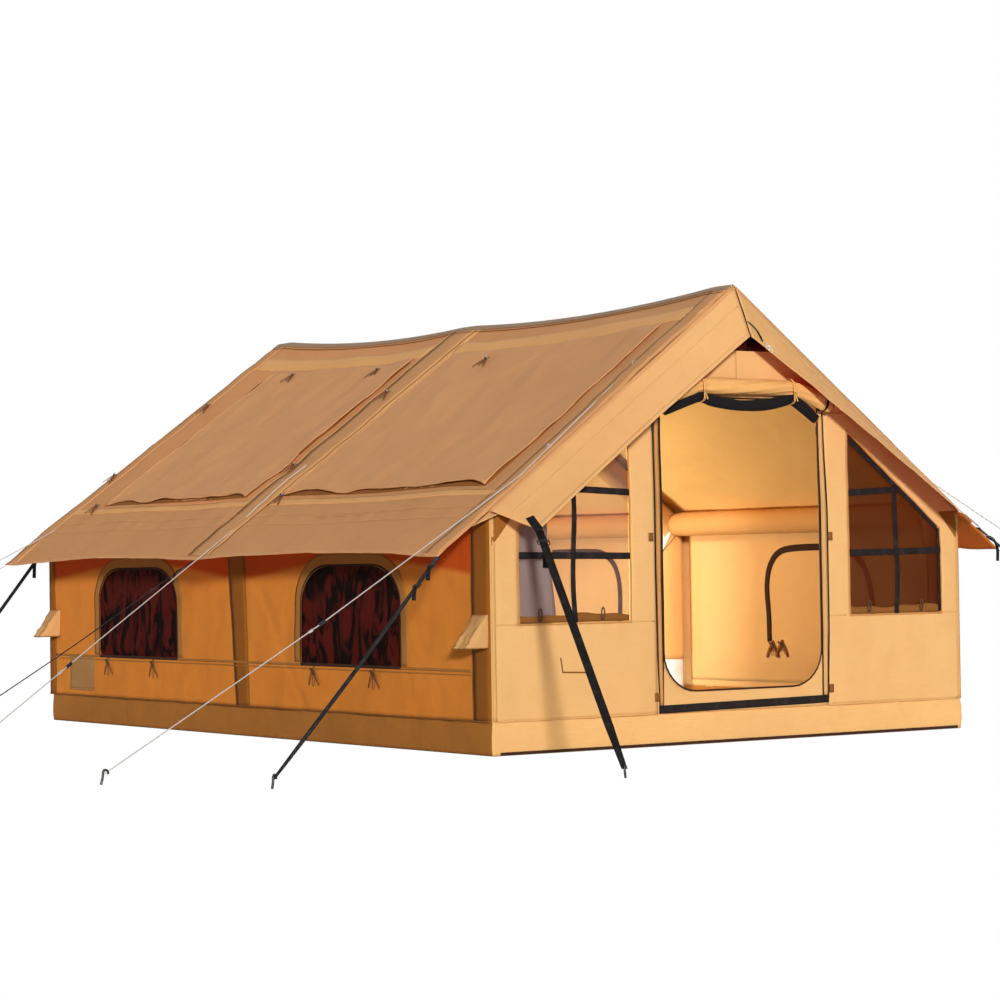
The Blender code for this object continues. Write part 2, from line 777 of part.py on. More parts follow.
# Guy lines, each a list of points by hand from its loop to its peg, the last two down the peg
rope_routes = {
    "guy_rope_left_front": (
        (-0.571, -2.374, 1.9784), (-1.166, -2.432, 1.5342), (-1.357, -2.453, 1.3916), (-2.60, -2.588, 0.685),
        (-3.815, -2.719, 0.046), (-3.815, -2.719, 0.0005),
    ),
    "guy_rope_left_middle": (
        (-1.600, -0.055, 1.2102), (-2.60, -0.395, 0.630), (-3.60, -0.737, 0.046), (-3.60, -0.737, 0.0005),
    ),
    "guy_rope_left_rear": (
        (-1.600, 2.350, 1.2096), (-2.70, 2.550, 0.640), (-3.815, 2.752, 0.046), (-3.815, 2.752, 0.0005),
    ),
    "guy_rope_right_front": (
        (0.571, -2.374, 1.9784), (1.166, -2.432, 1.5342), (1.345, -2.455, 1.412), (2.18, -2.997, 0.722),
        (2.987, -3.521, 0.046), (2.987, -3.521, 0.0005),
    ),
    "guy_rope_right_middle": (
        (1.600, -0.055, 1.2102), (1.900, -0.143, 1.005), (2.42, -0.296, 0.549), (2.987, -0.460, 0.046),
        (2.987, -0.460, 0.0005),
    ),
    "guy_rope_right_rear": (
        (1.600, 2.350, 1.2096), (1.900, 2.440, 0.993), (2.42, 2.623, 0.543), (2.987, 2.822, 0.046),
        (2.987, 2.822, 0.0005),
    ),
}
strap_routes = {
    "guy_strap_left_front": (
        (-1.8861, -2.5004, 0.9918), (-2.60, -2.963, 0.525), (-3.380, -3.467, 0.040), (-3.392, -3.475, 0.0010),
    ),
    "guy_strap_left_middle": (
        (-1.8900, 0.0003, 0.9948), (-2.60, 0.103, 0.525), (-3.380, 0.216, 0.040), (-3.393, 0.218, 0.0010),
    ),
    "guy_strap_left_rear": (
        (-1.8834, 2.5004, 0.9882), (-2.60, 2.850, 0.525), (-3.380, 3.231, 0.040), (-3.392, 3.237, 0.0010),
    ),
    "guy_strap_right_front": (
        (1.8860, -2.5004, 0.9918), (2.44, -2.950, 0.510), (2.980, -3.388, 0.040), (2.990, -3.396, 0.0010),
    ),
    "guy_strap_right_middle": (
        (1.8899, 0.0003, 0.9945), (2.44, 0.084, 0.513), (2.980, 0.166, 0.040), (2.991, 0.168, 0.0010),
    ),
    "guy_strap_right_rear": (
        (1.8833, 2.5004, 0.9882), (2.44, 2.900, 0.508), (2.980, 3.289, 0.040), (2.990, 3.296, 0.0010),
    ),
}
visor_strap_routes = {
    "visor_strap_left_front": (
        (-1.4692, -2.7699, 1.1125), (-1.708, -3.420, 0.575), (-1.942, -4.062, 0.040), (-1.946, -4.073, 0.0010),
    ),
    "visor_strap_right_front": (
        (1.4692, -2.7699, 1.1125), (1.708, -3.420, 0.575), (1.942, -4.062, 0.040), (1.946, -4.073, 0.0010),
    ),
    "visor_strap_left_rear": (
        (-1.4693, 2.7698, 1.1124), (-1.700, 3.210, 0.568), (-1.920, 3.640, 0.040), (-1.924, 3.650, 0.0010),
    ),
    "visor_strap_right_rear": (
        (1.4693, 2.7698, 1.1124), (1.700, 3.210, 0.568), (1.920, 3.640, 0.040), (1.924, 3.650, 0.0010),
    ),
}


def strap(name, points, width):
    """Flat webbing whose last stretch narrows to its peg."""
    curve = bpy.data.curves.new(name, "CURVE")
    curve.dimensions = "3D"
    curve.fill_mode = "FULL"
    curve.bevel_depth = STRAP_THICKNESS / 2
    curve.bevel_resolution = 1
    curve.extrude = (width - STRAP_THICKNESS) / 2
    curve.use_fill_caps = True
    curve.twist_mode = "Z_UP"
    spline = curve.splines.new("POLY")
    spline.points.add(len(points) - 1)
    for index, point in enumerate(points):
        spline.points[index].co = (*point, 1)
        spline.points[index].tilt = math.pi / 2
    place(name, curve, black_webbing)


peg_share = PEG_RADIUS / ROPE_RADIUS
peg_points = 2
for name, points in rope_routes.items():
    radii = [1] * (len(points) - peg_points) + [peg_share] * peg_points
    tube(name, points, ROPE_RADIUS, 8, light_cord, radii)
for name, points in strap_routes.items():
    strap(name, points, EAVE_STRAP_WIDTH)
for name, points in visor_strap_routes.items():
    strap(name, points, VISOR_STRAP_WIDTH)
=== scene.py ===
"""An inflatable cabin tent of sand-coloured canvas, pitched with its door open, in a plain studio."""

import math

import bmesh
import bpy
from mathutils import Matrix, Vector, noise


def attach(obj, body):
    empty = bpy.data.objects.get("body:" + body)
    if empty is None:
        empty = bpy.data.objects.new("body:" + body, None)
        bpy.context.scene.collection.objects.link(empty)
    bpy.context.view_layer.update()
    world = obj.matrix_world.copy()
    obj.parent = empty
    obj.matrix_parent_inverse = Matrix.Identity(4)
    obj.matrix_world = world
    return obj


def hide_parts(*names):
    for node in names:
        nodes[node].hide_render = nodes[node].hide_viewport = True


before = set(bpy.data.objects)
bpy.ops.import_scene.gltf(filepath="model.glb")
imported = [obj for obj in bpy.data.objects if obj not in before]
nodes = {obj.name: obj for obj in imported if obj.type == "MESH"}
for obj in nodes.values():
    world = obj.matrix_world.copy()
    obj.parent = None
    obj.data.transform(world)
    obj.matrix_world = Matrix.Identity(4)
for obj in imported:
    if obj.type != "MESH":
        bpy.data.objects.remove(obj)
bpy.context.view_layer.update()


# Camera: the photograph's own view, from off the tent's left front corner and a little below its
# eaves. A long lens on a level tripod, so the uprights stay nearly parallel.
yaw, pitch, roll = math.radians(-34.505), math.radians(1.306), math.radians(-0.855)
forward = Vector((-math.sin(yaw) * math.cos(pitch), math.cos(yaw) * math.cos(pitch), math.sin(pitch)))
level = Vector((math.cos(yaw), math.sin(yaw), 0))
upward = level.cross(forward)
rightward = level * math.cos(roll) + upward * math.sin(roll)
upward = upward * math.cos(roll) - level * math.sin(roll)
lens = bpy.data.cameras.new("camera")
lens.lens = 102.08
lens.sensor_width = 36
lens.clip_end = 200
camera = bpy.data.objects.new("camera", lens)
camera.matrix_world = Matrix.Translation((-9.4729, -14.0796, 0.9477)) @ (
    Matrix((rightward, upward, -forward)).transposed().to_4x4()
)
bpy.context.scene.collection.objects.link(camera)
bpy.context.scene.camera = camera


# Materials for the guy lines: twisted polyester cord, flat woven webbing, and their fittings of
# moulded plastic and painted steel. Each is built from a plain shader with its weave, twist or
# grain worked in.
def shader(name, colour, roughness, metallic=0, sheen=0, translucent=0, alpha=1, gloss=0.5):
    """A material with its Principled BSDF, mixed with a share of Translucent where light comes through."""
    made = bpy.data.materials.new(name)
    made.use_nodes = True
    tree = made.node_tree
    main = tree.nodes["Principled BSDF"]
    main.inputs["Base Color"].default_value = (*colour, 1)
    main.inputs["Roughness"].default_value = roughness
    main.inputs["Metallic"].default_value = metallic
    main.inputs["Sheen Weight"].default_value = sheen
    main.inputs["Specular IOR Level"].default_value = gloss
    main.inputs["Alpha"].default_value = alpha
    if translucent:
        through = tree.nodes.new("ShaderNodeBsdfTranslucent")
        mix = tree.nodes.new("ShaderNodeMixShader")
        mix.inputs["Fac"].default_value = translucent
        through.inputs["Color"].default_value = (colour[0] ** 1.2, colour[1] ** 1.7, colour[2] ** 1.9, 1)
        tree.links.new(main.outputs[0], mix.inputs[1])
        tree.links.new(through.outputs[0], mix.inputs[2])
        tree.links.new(mix.outputs[0], tree.nodes["Material Output"].inputs["Surface"])
    return made


def add(tree, kind, inputs=None, **settings):
    """A shader node with its settings, and its inputs linked to sockets or set to values."""
    made = tree.nodes.new(kind)
    for key, value in settings.items():
        setattr(made, key, value)
    for key, value in (inputs or {}).items():
        if isinstance(value, bpy.types.NodeSocket):
            tree.links.new(value, made.inputs[key])
        else:
            made.inputs[key].default_value = value
    return made


def tint(tree, base, dark, share):
    """The base colour going to dark by share, a socket from 0 to 1."""
    mix = add(tree, "ShaderNodeMix", data_type="RGBA")
    for slot, colour in ((6, base), (7, dark)):
        if isinstance(colour, bpy.types.NodeSocket):
            tree.links.new(colour, mix.inputs[slot])
        else:
            mix.inputs[slot].default_value = (*colour, 1)
    tree.links.new(share, mix.inputs[0])
    return mix.outputs[2]


def colour_in(material, colour):
    """Links a colour to the material's main shader."""
    tree = material.node_tree
    tree.links.new(colour, tree.nodes["Principled BSDF"].inputs["Base Color"])


def bump_in(material, heights):
    """Chains bump nodes, each a height socket, its strength and its distance in metres."""
    tree = material.node_tree
    normal = None
    for height, strength, distance in heights:
        bump = add(tree, "ShaderNodeBump", {"Strength": strength, "Distance": distance, "Height": height})
        if normal:
            tree.links.new(normal, bump.inputs["Normal"])
        normal = bump.outputs["Normal"]
    tree.links.new(normal, tree.nodes["Principled BSDF"].inputs["Normal"])


def speckle(tree, place, scale, detail, roughness=0.5):
    """Soft noise over place, a socket from 0 to 1."""
    return add(tree, "ShaderNodeTexNoise", {
        "Vector": place, "Scale": scale, "Detail": detail, "Roughness": roughness}).outputs[0]


def ramp(tree, value, low, high, top=1.0, bottom=0.0):
    """A socket that goes from bottom to top while value goes from low to high."""
    return add(tree, "ShaderNodeMapRange", {
        "Value": value, "From Min": low, "From Max": high, "To Min": bottom, "To Max": top}).outputs[0]


def webbing_material(name, colour, worn, rib=0.0022):
    """Flat woven webbing: ribs across its length, a paler worn bloom and dusty edges."""
    made = shader(name, colour, 0.72, gloss=0.25)
    tree = made.node_tree
    place = add(tree, "ShaderNodeTexCoord").outputs["UV"]
    ribs = add(tree, "ShaderNodeTexWave", {"Vector": place, "Scale": 0.314 / rib, "Distortion": 0.6})
    dust = speckle(tree, place, 22.0, 6.0)
    colour_in(made, tint(tree, colour, worn, ramp(tree, dust, 0.5, 0.8)))
    bump_in(made, [(ribs.outputs[0], 0.5, 0.0006), (dust, 0.3, 0.0008)])
    return made


def cord_material(name, colour, fleck):
    """Twisted cord: strands winding round it and darker flecks."""
    made = shader(name, colour, 0.6, gloss=0.25)
    tree = made.node_tree
    place = add(tree, "ShaderNodeTexCoord").outputs["Object"]
    strands = add(
        tree, "ShaderNodeTexWave", {"Vector": place, "Scale": 60.0, "Distortion": 1.0},
        bands_direction="DIAGONAL",
    )
    colour_in(made, tint(tree, colour, fleck, strands.outputs[0]))
    bump_in(made, [(strands.outputs[0], 0.7, 0.0012)])
    return made


def hard_material(name, colour, roughness, metallic=0):
    """Moulded plastic or painted metal: fine grain in its surface and scuffs in its gloss."""
    made = shader(name, colour, roughness, metallic)
    tree = made.node_tree
    place = add(tree, "ShaderNodeTexCoord").outputs["Object"]
    scuffed = ramp(tree, speckle(tree, place, 60.0, 8.0), 0.3, 0.7, min(roughness * 1.4, 1), roughness * 0.75)
    tree.links.new(scuffed, tree.nodes["Principled BSDF"].inputs["Roughness"])
    bump_in(made, [(speckle(tree, place, 900.0, 3.0), 0.25, 0.0002)])
    return made


black_webbing = webbing_material("black_webbing", (0.008, 0.007, 0.007), (0.03, 0.027, 0.025))
grey_cord = cord_material("grey_cord", (0.74, 0.70, 0.66), (0.36, 0.33, 0.31))
black_plastic = hard_material("black_plastic", (0.02, 0.02, 0.021), 0.4)
peg_steel = hard_material("peg_steel", (0.06, 0.058, 0.06), 0.38, 0.7)


# Guy lines: six 6 mm ropes, six 25 mm eave straps and four broad visor straps. Each runs from its
# loop on the tent to a hooked steel peg in the ground, through a runner and a knot on a rope and
# through buckles with a loose tail on a strap.
def deselect():
    """Leaves nothing selected, so that an operator takes only what comes next."""
    for one in bpy.context.selected_objects:
        one.select_set(False)


def grid(name, across, up, place, uv=(1, 1)):
    """A grid of across by up cells whose points go where place(u, v) says, with UVs in metres."""
    deselect()
    bpy.ops.mesh.primitive_grid_add(x_subdivisions=across, y_subdivisions=up, size=1)
    made = bpy.context.object
    made.name = made.data.name = name
    mesh = made.data
    flat = [(vertex.co.x + 0.5, vertex.co.y + 0.5) for vertex in mesh.vertices]
    layer = mesh.uv_layers[0].data if mesh.uv_layers else mesh.uv_layers.new(name="UVMap").data
    for loop in mesh.loops:
        u, v = flat[loop.vertex_index]
        layer[loop.index].uv = (u * uv[0], v * uv[1])
    for vertex, (u, v) in zip(mesh.vertices, flat):
        vertex.co = place(u, v)
    for face in mesh.polygons:
        face.use_smooth = True
    return made


def settle(made, thickness, offset=-1):
    """Gives cloth its thickness, inwards or to both sides by offset, which closes the piece."""
    deselect()
    made.select_set(True)
    bpy.context.view_layer.objects.active = made
    body = made.modifiers.new("thickness", "SOLIDIFY")
    body.thickness = thickness
    body.offset = offset
    body.use_even_offset = False
    bpy.ops.object.modifier_apply(modifier=body.name)
    return made


def weld(made, fill=False):
    """Merges the points that meet, closes open ends where fill is set, and turns the faces outwards."""
    shape = bmesh.new()
    shape.from_mesh(made.data)
    bmesh.ops.remove_doubles(shape, verts=shape.verts, dist=1e-5)
    if fill:
        bmesh.ops.holes_fill(shape, edges=[edge for edge in shape.edges if edge.is_boundary])
    bmesh.ops.recalc_face_normals(shape, faces=shape.faces)
    shape.to_mesh(made.data)
    shape.free()
    return made


def turn_towards(made, outward, index=0):
    """Turns a sheet over if the face of that index looks away from outward."""
    if made.data.polygons[index].normal.dot(Vector(outward)) < 0:
        made.data.flip_normals()
    return made


def dress(made, material, body="tent", stands_for=()):
    """Paints a piece, puts it on its body and hides the CAD nodes that it stands for."""
    made.data.materials.clear()
    made.data.materials.append(material)
    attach(made, body)
    if stands_for:
        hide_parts(*stands_for)
    return made


def smooth_path(points, gap):
    """Points about gap apart on a soft curve through the given ones."""
    points = [Vector(point) for point in points]
    ends = [points[0] * 2 - points[1], *points, points[-1] * 2 - points[-2]]
    path = []
    for before, start, end, after in zip(ends, ends[1:], ends[2:], ends[3:]):
        steps = max(1, round((end - start).length / gap))
        for step in range(steps):
            t = step / steps
            path.append(0.5 * (
                2 * start + (end - before) * t
                + (2 * before - 5 * start + 4 * end - after) * t * t
                + (3 * start - before - 3 * end + after) * t ** 3
            ))
    path.append(points[-1])
    return path


def sagged(points, gap, sag):
    """A straight-run path with points about gap apart, each long run sagging under its own weight."""
    path = []
    for start, end in zip(points, points[1:]):
        start, end = Vector(start), Vector(end)
        length = (end - start).length
        steps = max(1, round(length / gap))
        for step in range(steps):
            t = step / steps
            path.append(start.lerp(end, t) - Vector((0, 0, sag * length * 4 * t * (1 - t))))
    path.append(Vector(points[-1]))
    return path


def frames(path, across=None):
    """Along, sideways and up directions at each point of a path."""
    made = []
    for index, point in enumerate(path):
        along = (path[min(index + 1, len(path) - 1)] - path[max(index - 1, 0)]).normalized()
        want = Vector(across(index) if callable(across) else across) if across else None
        if want is None:
            want = along.cross(Vector((0, 0, 1)))
            if want.length < 0.05:
                want = made[-1][1] if made else Vector((1, 0, 0))
        side = (want - along * want.dot(along)).normalized()
        made.append((along, side, side.cross(along)))
    return made


def run_length(path):
    """The length of a path through its points."""
    return sum((b - a).length for a, b in zip(path, path[1:]))


def band(name, path, width, thickness, across=None):
    """A flat strap along a path, its width lying sideways, a value or a function of its share."""
    path = [Vector(point) for point in path]
    turns = frames(path, across)
    widths = width if callable(width) else (lambda share: width)

    def place(u, v):
        index = min(round(u * (len(path) - 1)), len(path) - 1)
        return path[index] + turns[index][1] * (v - 0.5) * widths(u)

    return settle(grid(name, len(path) - 1, 2, place, (run_length(path), widths(0.5))), thickness, 0)


def tube(name, path, radius, sides=10, caps=True):
    """A round tube along a path, its radius a value or a function of the share of its length."""
    path = [Vector(point) for point in path]
    turns = frames(path)
    side = turns[0][1]
    rings = []
    for along, _, _ in turns:
        side = (side - along * side.dot(along)).normalized()
        rings.append((side, along.cross(side)))
    radii = radius if callable(radius) else (lambda share, angle: radius)

    def place(u, v):
        index = min(round(u * (len(path) - 1)), len(path) - 1)
        angle = 2 * math.pi * v
        first, second = rings[index]
        return path[index] + (first * math.cos(angle) + second * math.sin(angle)) * radii(u, angle)

    size = (run_length(path), 2 * math.pi * radii(0.5, 0))
    return weld(grid(name, len(path) - 1, sides, place, size), caps)


def joined(name, *pieces):
    """Pieces of one material sewn or moulded into one object."""
    deselect()
    for piece in pieces:
        piece.select_set(True)
    bpy.context.view_layer.objects.active = pieces[0]
    if len(pieces) > 1:
        bpy.ops.object.join()
    pieces[0].name = pieces[0].data.name = name
    return pieces[0]


def chamfered(name, size, centre, axes=None, bevel=0.002):
    """A moulded block: a cube with rounded edges, turned to its axes."""
    deselect()
    bpy.ops.mesh.primitive_cube_add(size=1)
    made = bpy.context.object
    made.name = made.data.name = name
    made.data.transform(Matrix.Diagonal((*size, 1)))
    rounding = made.modifiers.new("rounding", "BEVEL")
    rounding.width = bevel
    rounding.segments = 2
    bpy.ops.object.modifier_apply(modifier=rounding.name)
    turn = Matrix([Vector(axis) for axis in axes]).transposed().to_4x4() if axes else Matrix()
    made.data.transform(Matrix.Translation(centre) @ turn)
    return made


def frame_ring(name, width, height, bar, thickness, centre, along, side):
    """A buckle or loop frame: a rounded bar bent round into a closed rectangle."""
    up = side.cross(along)
    corner = min(width, height) * 0.22
    loop = []
    for cx, cy, start in ((1, 1, 0), (-1, 1, 1), (-1, -1, 2), (1, -1, 3)):
        for step in range(4):
            angle = (start + step / 3) * math.pi / 2
            loop.append(
                Vector(centre)
                + side * (cx * (width / 2 - corner) + corner * math.cos(angle))
                + along * (cy * (height / 2 - corner) + corner * math.sin(angle))
            )
    loop.append(loop[0])

    def place(u, v):
        index = round(u * (len(loop) - 1)) % (len(loop) - 1)
        before, after = loop[index - 1], loop[(index + 1) % (len(loop) - 1)]
        out = (after - before).normalized().cross(up)
        angle = 2 * math.pi * v
        return loop[index] + out * math.cos(angle) * bar / 2 + up * math.sin(angle) * thickness / 2

    return weld(grid(name, len(loop) - 1, 8, place))


def peg(name, top, lean, node):
    """A round steel peg pushed in beside the line, its hooked head just over the ground."""
    top = Vector(top)
    foot = Vector((top.x + lean.x * 0.012, top.y + lean.y * 0.012, 0.0012))
    neck = foot.lerp(top, 0.75)
    hook = [
        foot, foot.lerp(neck, 0.5), neck, top + Vector((0, 0, 0.012)),
        top - lean * 0.010 + Vector((0, 0, 0.020)), top - lean * 0.022 + Vector((0, 0, 0.014)),
        top - lean * 0.026 + Vector((0, 0, 0.001)),
    ]
    made = tube(name, smooth_path(hook, 0.006), 0.0058, 10)
    return dress(made, peg_steel, stands_for=(node,))


rope_routes = {
    "left_front": ((-0.571, -2.374, 1.9784), (-1.166, -2.432, 1.5342), (-1.357, -2.453, 1.3916),
                   (-2.60, -2.588, 0.685), (-3.815, -2.719, 0.046)),
    "left_middle": ((-1.600, -0.055, 1.2102), (-2.60, -0.395, 0.630), (-3.60, -0.737, 0.046)),
    "left_rear": ((-1.600, 2.350, 1.2096), (-2.70, 2.550, 0.640), (-3.815, 2.752, 0.046)),
    "right_front": ((0.571, -2.374, 1.9784), (1.166, -2.432, 1.5342), (1.345, -2.455, 1.412),
                    (2.18, -2.997, 0.722), (2.987, -3.521, 0.046)),
    "right_middle": ((1.600, -0.055, 1.2102), (1.900, -0.143, 1.005), (2.42, -0.296, 0.549),
                     (2.987, -0.460, 0.046)),
    "right_rear": ((1.600, 2.350, 1.2096), (1.900, 2.440, 0.993), (2.42, 2.623, 0.543),
                   (2.987, 2.822, 0.046)),
}
eave_strap_routes = {
    "left_front": ((-1.8861, -2.5004, 0.9918), (-2.60, -2.963, 0.525), (-3.380, -3.467, 0.040)),
    "left_middle": ((-1.8900, 0.0003, 0.9948), (-2.60, 0.103, 0.525), (-3.380, 0.216, 0.040)),
    "left_rear": ((-1.8834, 2.5004, 0.9882), (-2.60, 2.850, 0.525), (-3.380, 3.231, 0.040)),
    "right_front": ((1.8860, -2.5004, 0.9918), (2.44, -2.950, 0.510), (2.980, -3.388, 0.040)),
    "right_middle": ((1.8899, 0.0003, 0.9945), (2.44, 0.084, 0.513), (2.980, 0.166, 0.040)),
    "right_rear": ((1.8833, 2.5004, 0.9882), (2.44, 2.900, 0.508), (2.980, 3.289, 0.040)),
}
visor_strap_routes = {
    "left_front": ((-1.4692, -2.7699, 1.1125), (-1.708, -3.420, 0.575), (-1.942, -4.062, 0.040)),
    "right_front": ((1.4692, -2.7699, 1.1125), (1.708, -3.420, 0.575), (1.942, -4.062, 0.040)),
    "left_rear": ((-1.4693, 2.7698, 1.1124), (-1.700, 3.210, 0.568), (-1.920, 3.640, 0.040)),
    "right_rear": ((1.4693, 2.7698, 1.1124), (1.700, 3.210, 0.568), (1.920, 3.640, 0.040)),
}


rope_width, eave_strap_width, visor_strap_width = 0.006, 0.025, 0.042


def guy_rope(place_name, route):
    """A rope with a plastic line runner two thirds down and a knot above it."""
    node = "guy_rope_" + place_name
    path = sagged(route, 0.12, 0.001)
    rope = tube("rope_" + place_name, path, rope_width / 2, 8)
    out = Vector((path[-1].x - path[-3].x, path[-1].y - path[-3].y, 0)).normalized()
    held = peg("rope_peg_" + place_name, route[-1], out, node)
    index = round(len(path) * 0.62)
    along = (path[index + 1] - path[index]).normalized()
    side = along.cross(Vector((0, 0, 1))).normalized()
    runner = chamfered(
        "rope_runner_" + place_name, (0.045, 0.012, 0.016), path[index],
        (along, side, side.cross(along) * -1), 0.003,
    )
    dress(runner, black_plastic)
    knot_place = path[index].lerp(path[index + 1], 0.6)
    turns = [
        knot_place + along * (step * 0.0011 - 0.012)
        + (side * math.cos(step * 0.9) + side.cross(along) * math.sin(step * 0.9)) * 0.0052
        for step in range(25)
    ]
    knot = tube("rope_knot_" + place_name, turns, 0.0026, 6)
    dress(knot, grey_cord)
    dress(rope, grey_cord, stands_for=(node,))
    run_length(path)


def guy_strap(node, route, width, adjusters):
    """A strap that narrows into its peg, with a buckle and a hanging tail at each adjuster's share."""
    path = sagged(route, 0.10, 0.0015)
    ends = (len(path) - 4) / (len(path) - 1)
    place_name = node.replace("guy_strap_", "").replace("visor_strap_", "")
    tag = node.replace("_" + place_name, "").replace("guy_", "")
    strap = band(
        f"{tag}_{place_name}", path,
        lambda share: width * (1 - 0.35 * max(0, share - ends) / (1 - ends)), 0.0016,
    )
    out = Vector((path[-1].x - path[-3].x, path[-1].y - path[-3].y, 0)).normalized()
    held = peg(f"{tag}_peg_{place_name}", route[-1], out, node)
    pieces = [held]
    for number, share in enumerate(adjusters):
        index = max(1, round((len(path) - 1) * share))
        along, side, up = frames(path)[index]
        ring = frame_ring(
            f"buckle_{number}", width * 1.45, 0.036, 0.006, 0.005, path[index] + up * 0.0005, along, side
        )
        bar = chamfered(
            f"bar_{number}", (width * 1.3, 0.006, 0.004), path[index] + up * 0.004, (side, along, up), 0.001
        )
        buckle = joined(f"{tag}_buckle_{place_name}_{number}", ring, bar)
        dress(buckle, black_plastic)
        tail = [path[index] + along * 0.01 + up * 0.006]
        for step in range(1, 6 if width > eave_strap_width else 4):
            fall = along.lerp(Vector((0, 0, -1)), min(1, step * 0.3)).normalized()
            tail.append(tail[-1] + fall * 0.026 + Vector((0.0015 * math.sin(step * 0.9), 0, 0)))
        loose = band(f"{tag}_tail_{place_name}_{number}", tail, width * 0.85, 0.0014, tuple(side))
        pieces += [buckle, dress(loose, black_webbing)]
    dress(strap, black_webbing, stands_for=(node,))
    run_length(path)


for place_name, route in rope_routes.items():
    guy_rope(place_name, route)
for place_name, route in eave_strap_routes.items():
    guy_strap("guy_strap_" + place_name, route, eave_strap_width, (0.05, 0.16))
for place_name, route in visor_strap_routes.items():
    guy_strap("visor_strap_" + place_name, route, visor_strap_width, (0.05,))


# Studio: a pale floor and a surround that show white. One low sun from the front lights the tent,
# a weaker one comes from behind, and a soft lamp inside stands for the daylight through the cloth.
def white_to_camera(tree, lit, seen, output):
    """Shows the camera seen, and gives every other ray lit."""
    ray = add(tree, "ShaderNodeLightPath").outputs["Is Camera Ray"]
    both = add(tree, "ShaderNodeMixShader", {0: ray, 1: lit.outputs[0], 2: seen.outputs[0]})
    add(tree, output, {"Surface": both.outputs[0]})


floor_paint = bpy.data.materials.new("floor")
floor_paint.use_nodes = True
paint = floor_paint.node_tree
paint.nodes.clear()
white_to_camera(
    paint, add(paint, "ShaderNodeBsdfDiffuse", {"Color": (0.8, 0.8, 0.8, 1)}),
    add(paint, "ShaderNodeEmission", {"Color": (1, 1, 1, 1), "Strength": 1.0}), "ShaderNodeOutputMaterial",
)
deselect()
bpy.ops.mesh.primitive_plane_add(size=60, location=(0, 0, -0.002))
floor = bpy.context.object
floor.name = "floor"
floor.data.transform(floor.matrix_world)
floor.matrix_world = Matrix()
floor.data.materials.append(floor_paint)

world = bpy.data.worlds.new("studio")
bpy.context.scene.world = world
world.use_nodes = True
sky = world.node_tree
sky.nodes.clear()
white_to_camera(
    sky, add(sky, "ShaderNodeBackground", {"Color": (1.0, 0.98, 0.95, 1), "Strength": 0.20}),
    add(sky, "ShaderNodeBackground", {"Color": (1, 1, 1, 1), "Strength": 1.0}), "ShaderNodeOutputWorld",
)

key = bpy.data.lights.new("key", "SUN")
key.energy = 3.1
key.angle = 0.1
key.color = (1.0, 0.985, 0.96)
glow = bpy.data.lights.new("glow", "AREA")
glow.energy = 90
glow.size = 0.6
glow.color = (1.0, 0.93, 0.80)
behind = bpy.data.lights.new("behind", "SUN")
behind.energy = 1.6
behind.angle = 0.5
for lamp, place, comes_from in (
    (key, (0, 0, 0), (-0.45, -0.87, 0.20)), (glow, (-0.95, 0.9, 0.40), (-0.60, 0.25, -0.72)),
    (behind, (0, 0, 0), (0.62, 0.62, 0.48)),
):
    placed = bpy.data.objects.new(lamp.name, lamp)
    placed.location = place
    placed.rotation_mode = "QUATERNION"
    placed.rotation_quaternion = Vector(comes_from).to_track_quat("Z", "Y")
    placed.visible_camera = False
    bpy.context.scene.collection.objects.link(placed)
bpy.context.scene.view_settings.view_transform = "Standard"


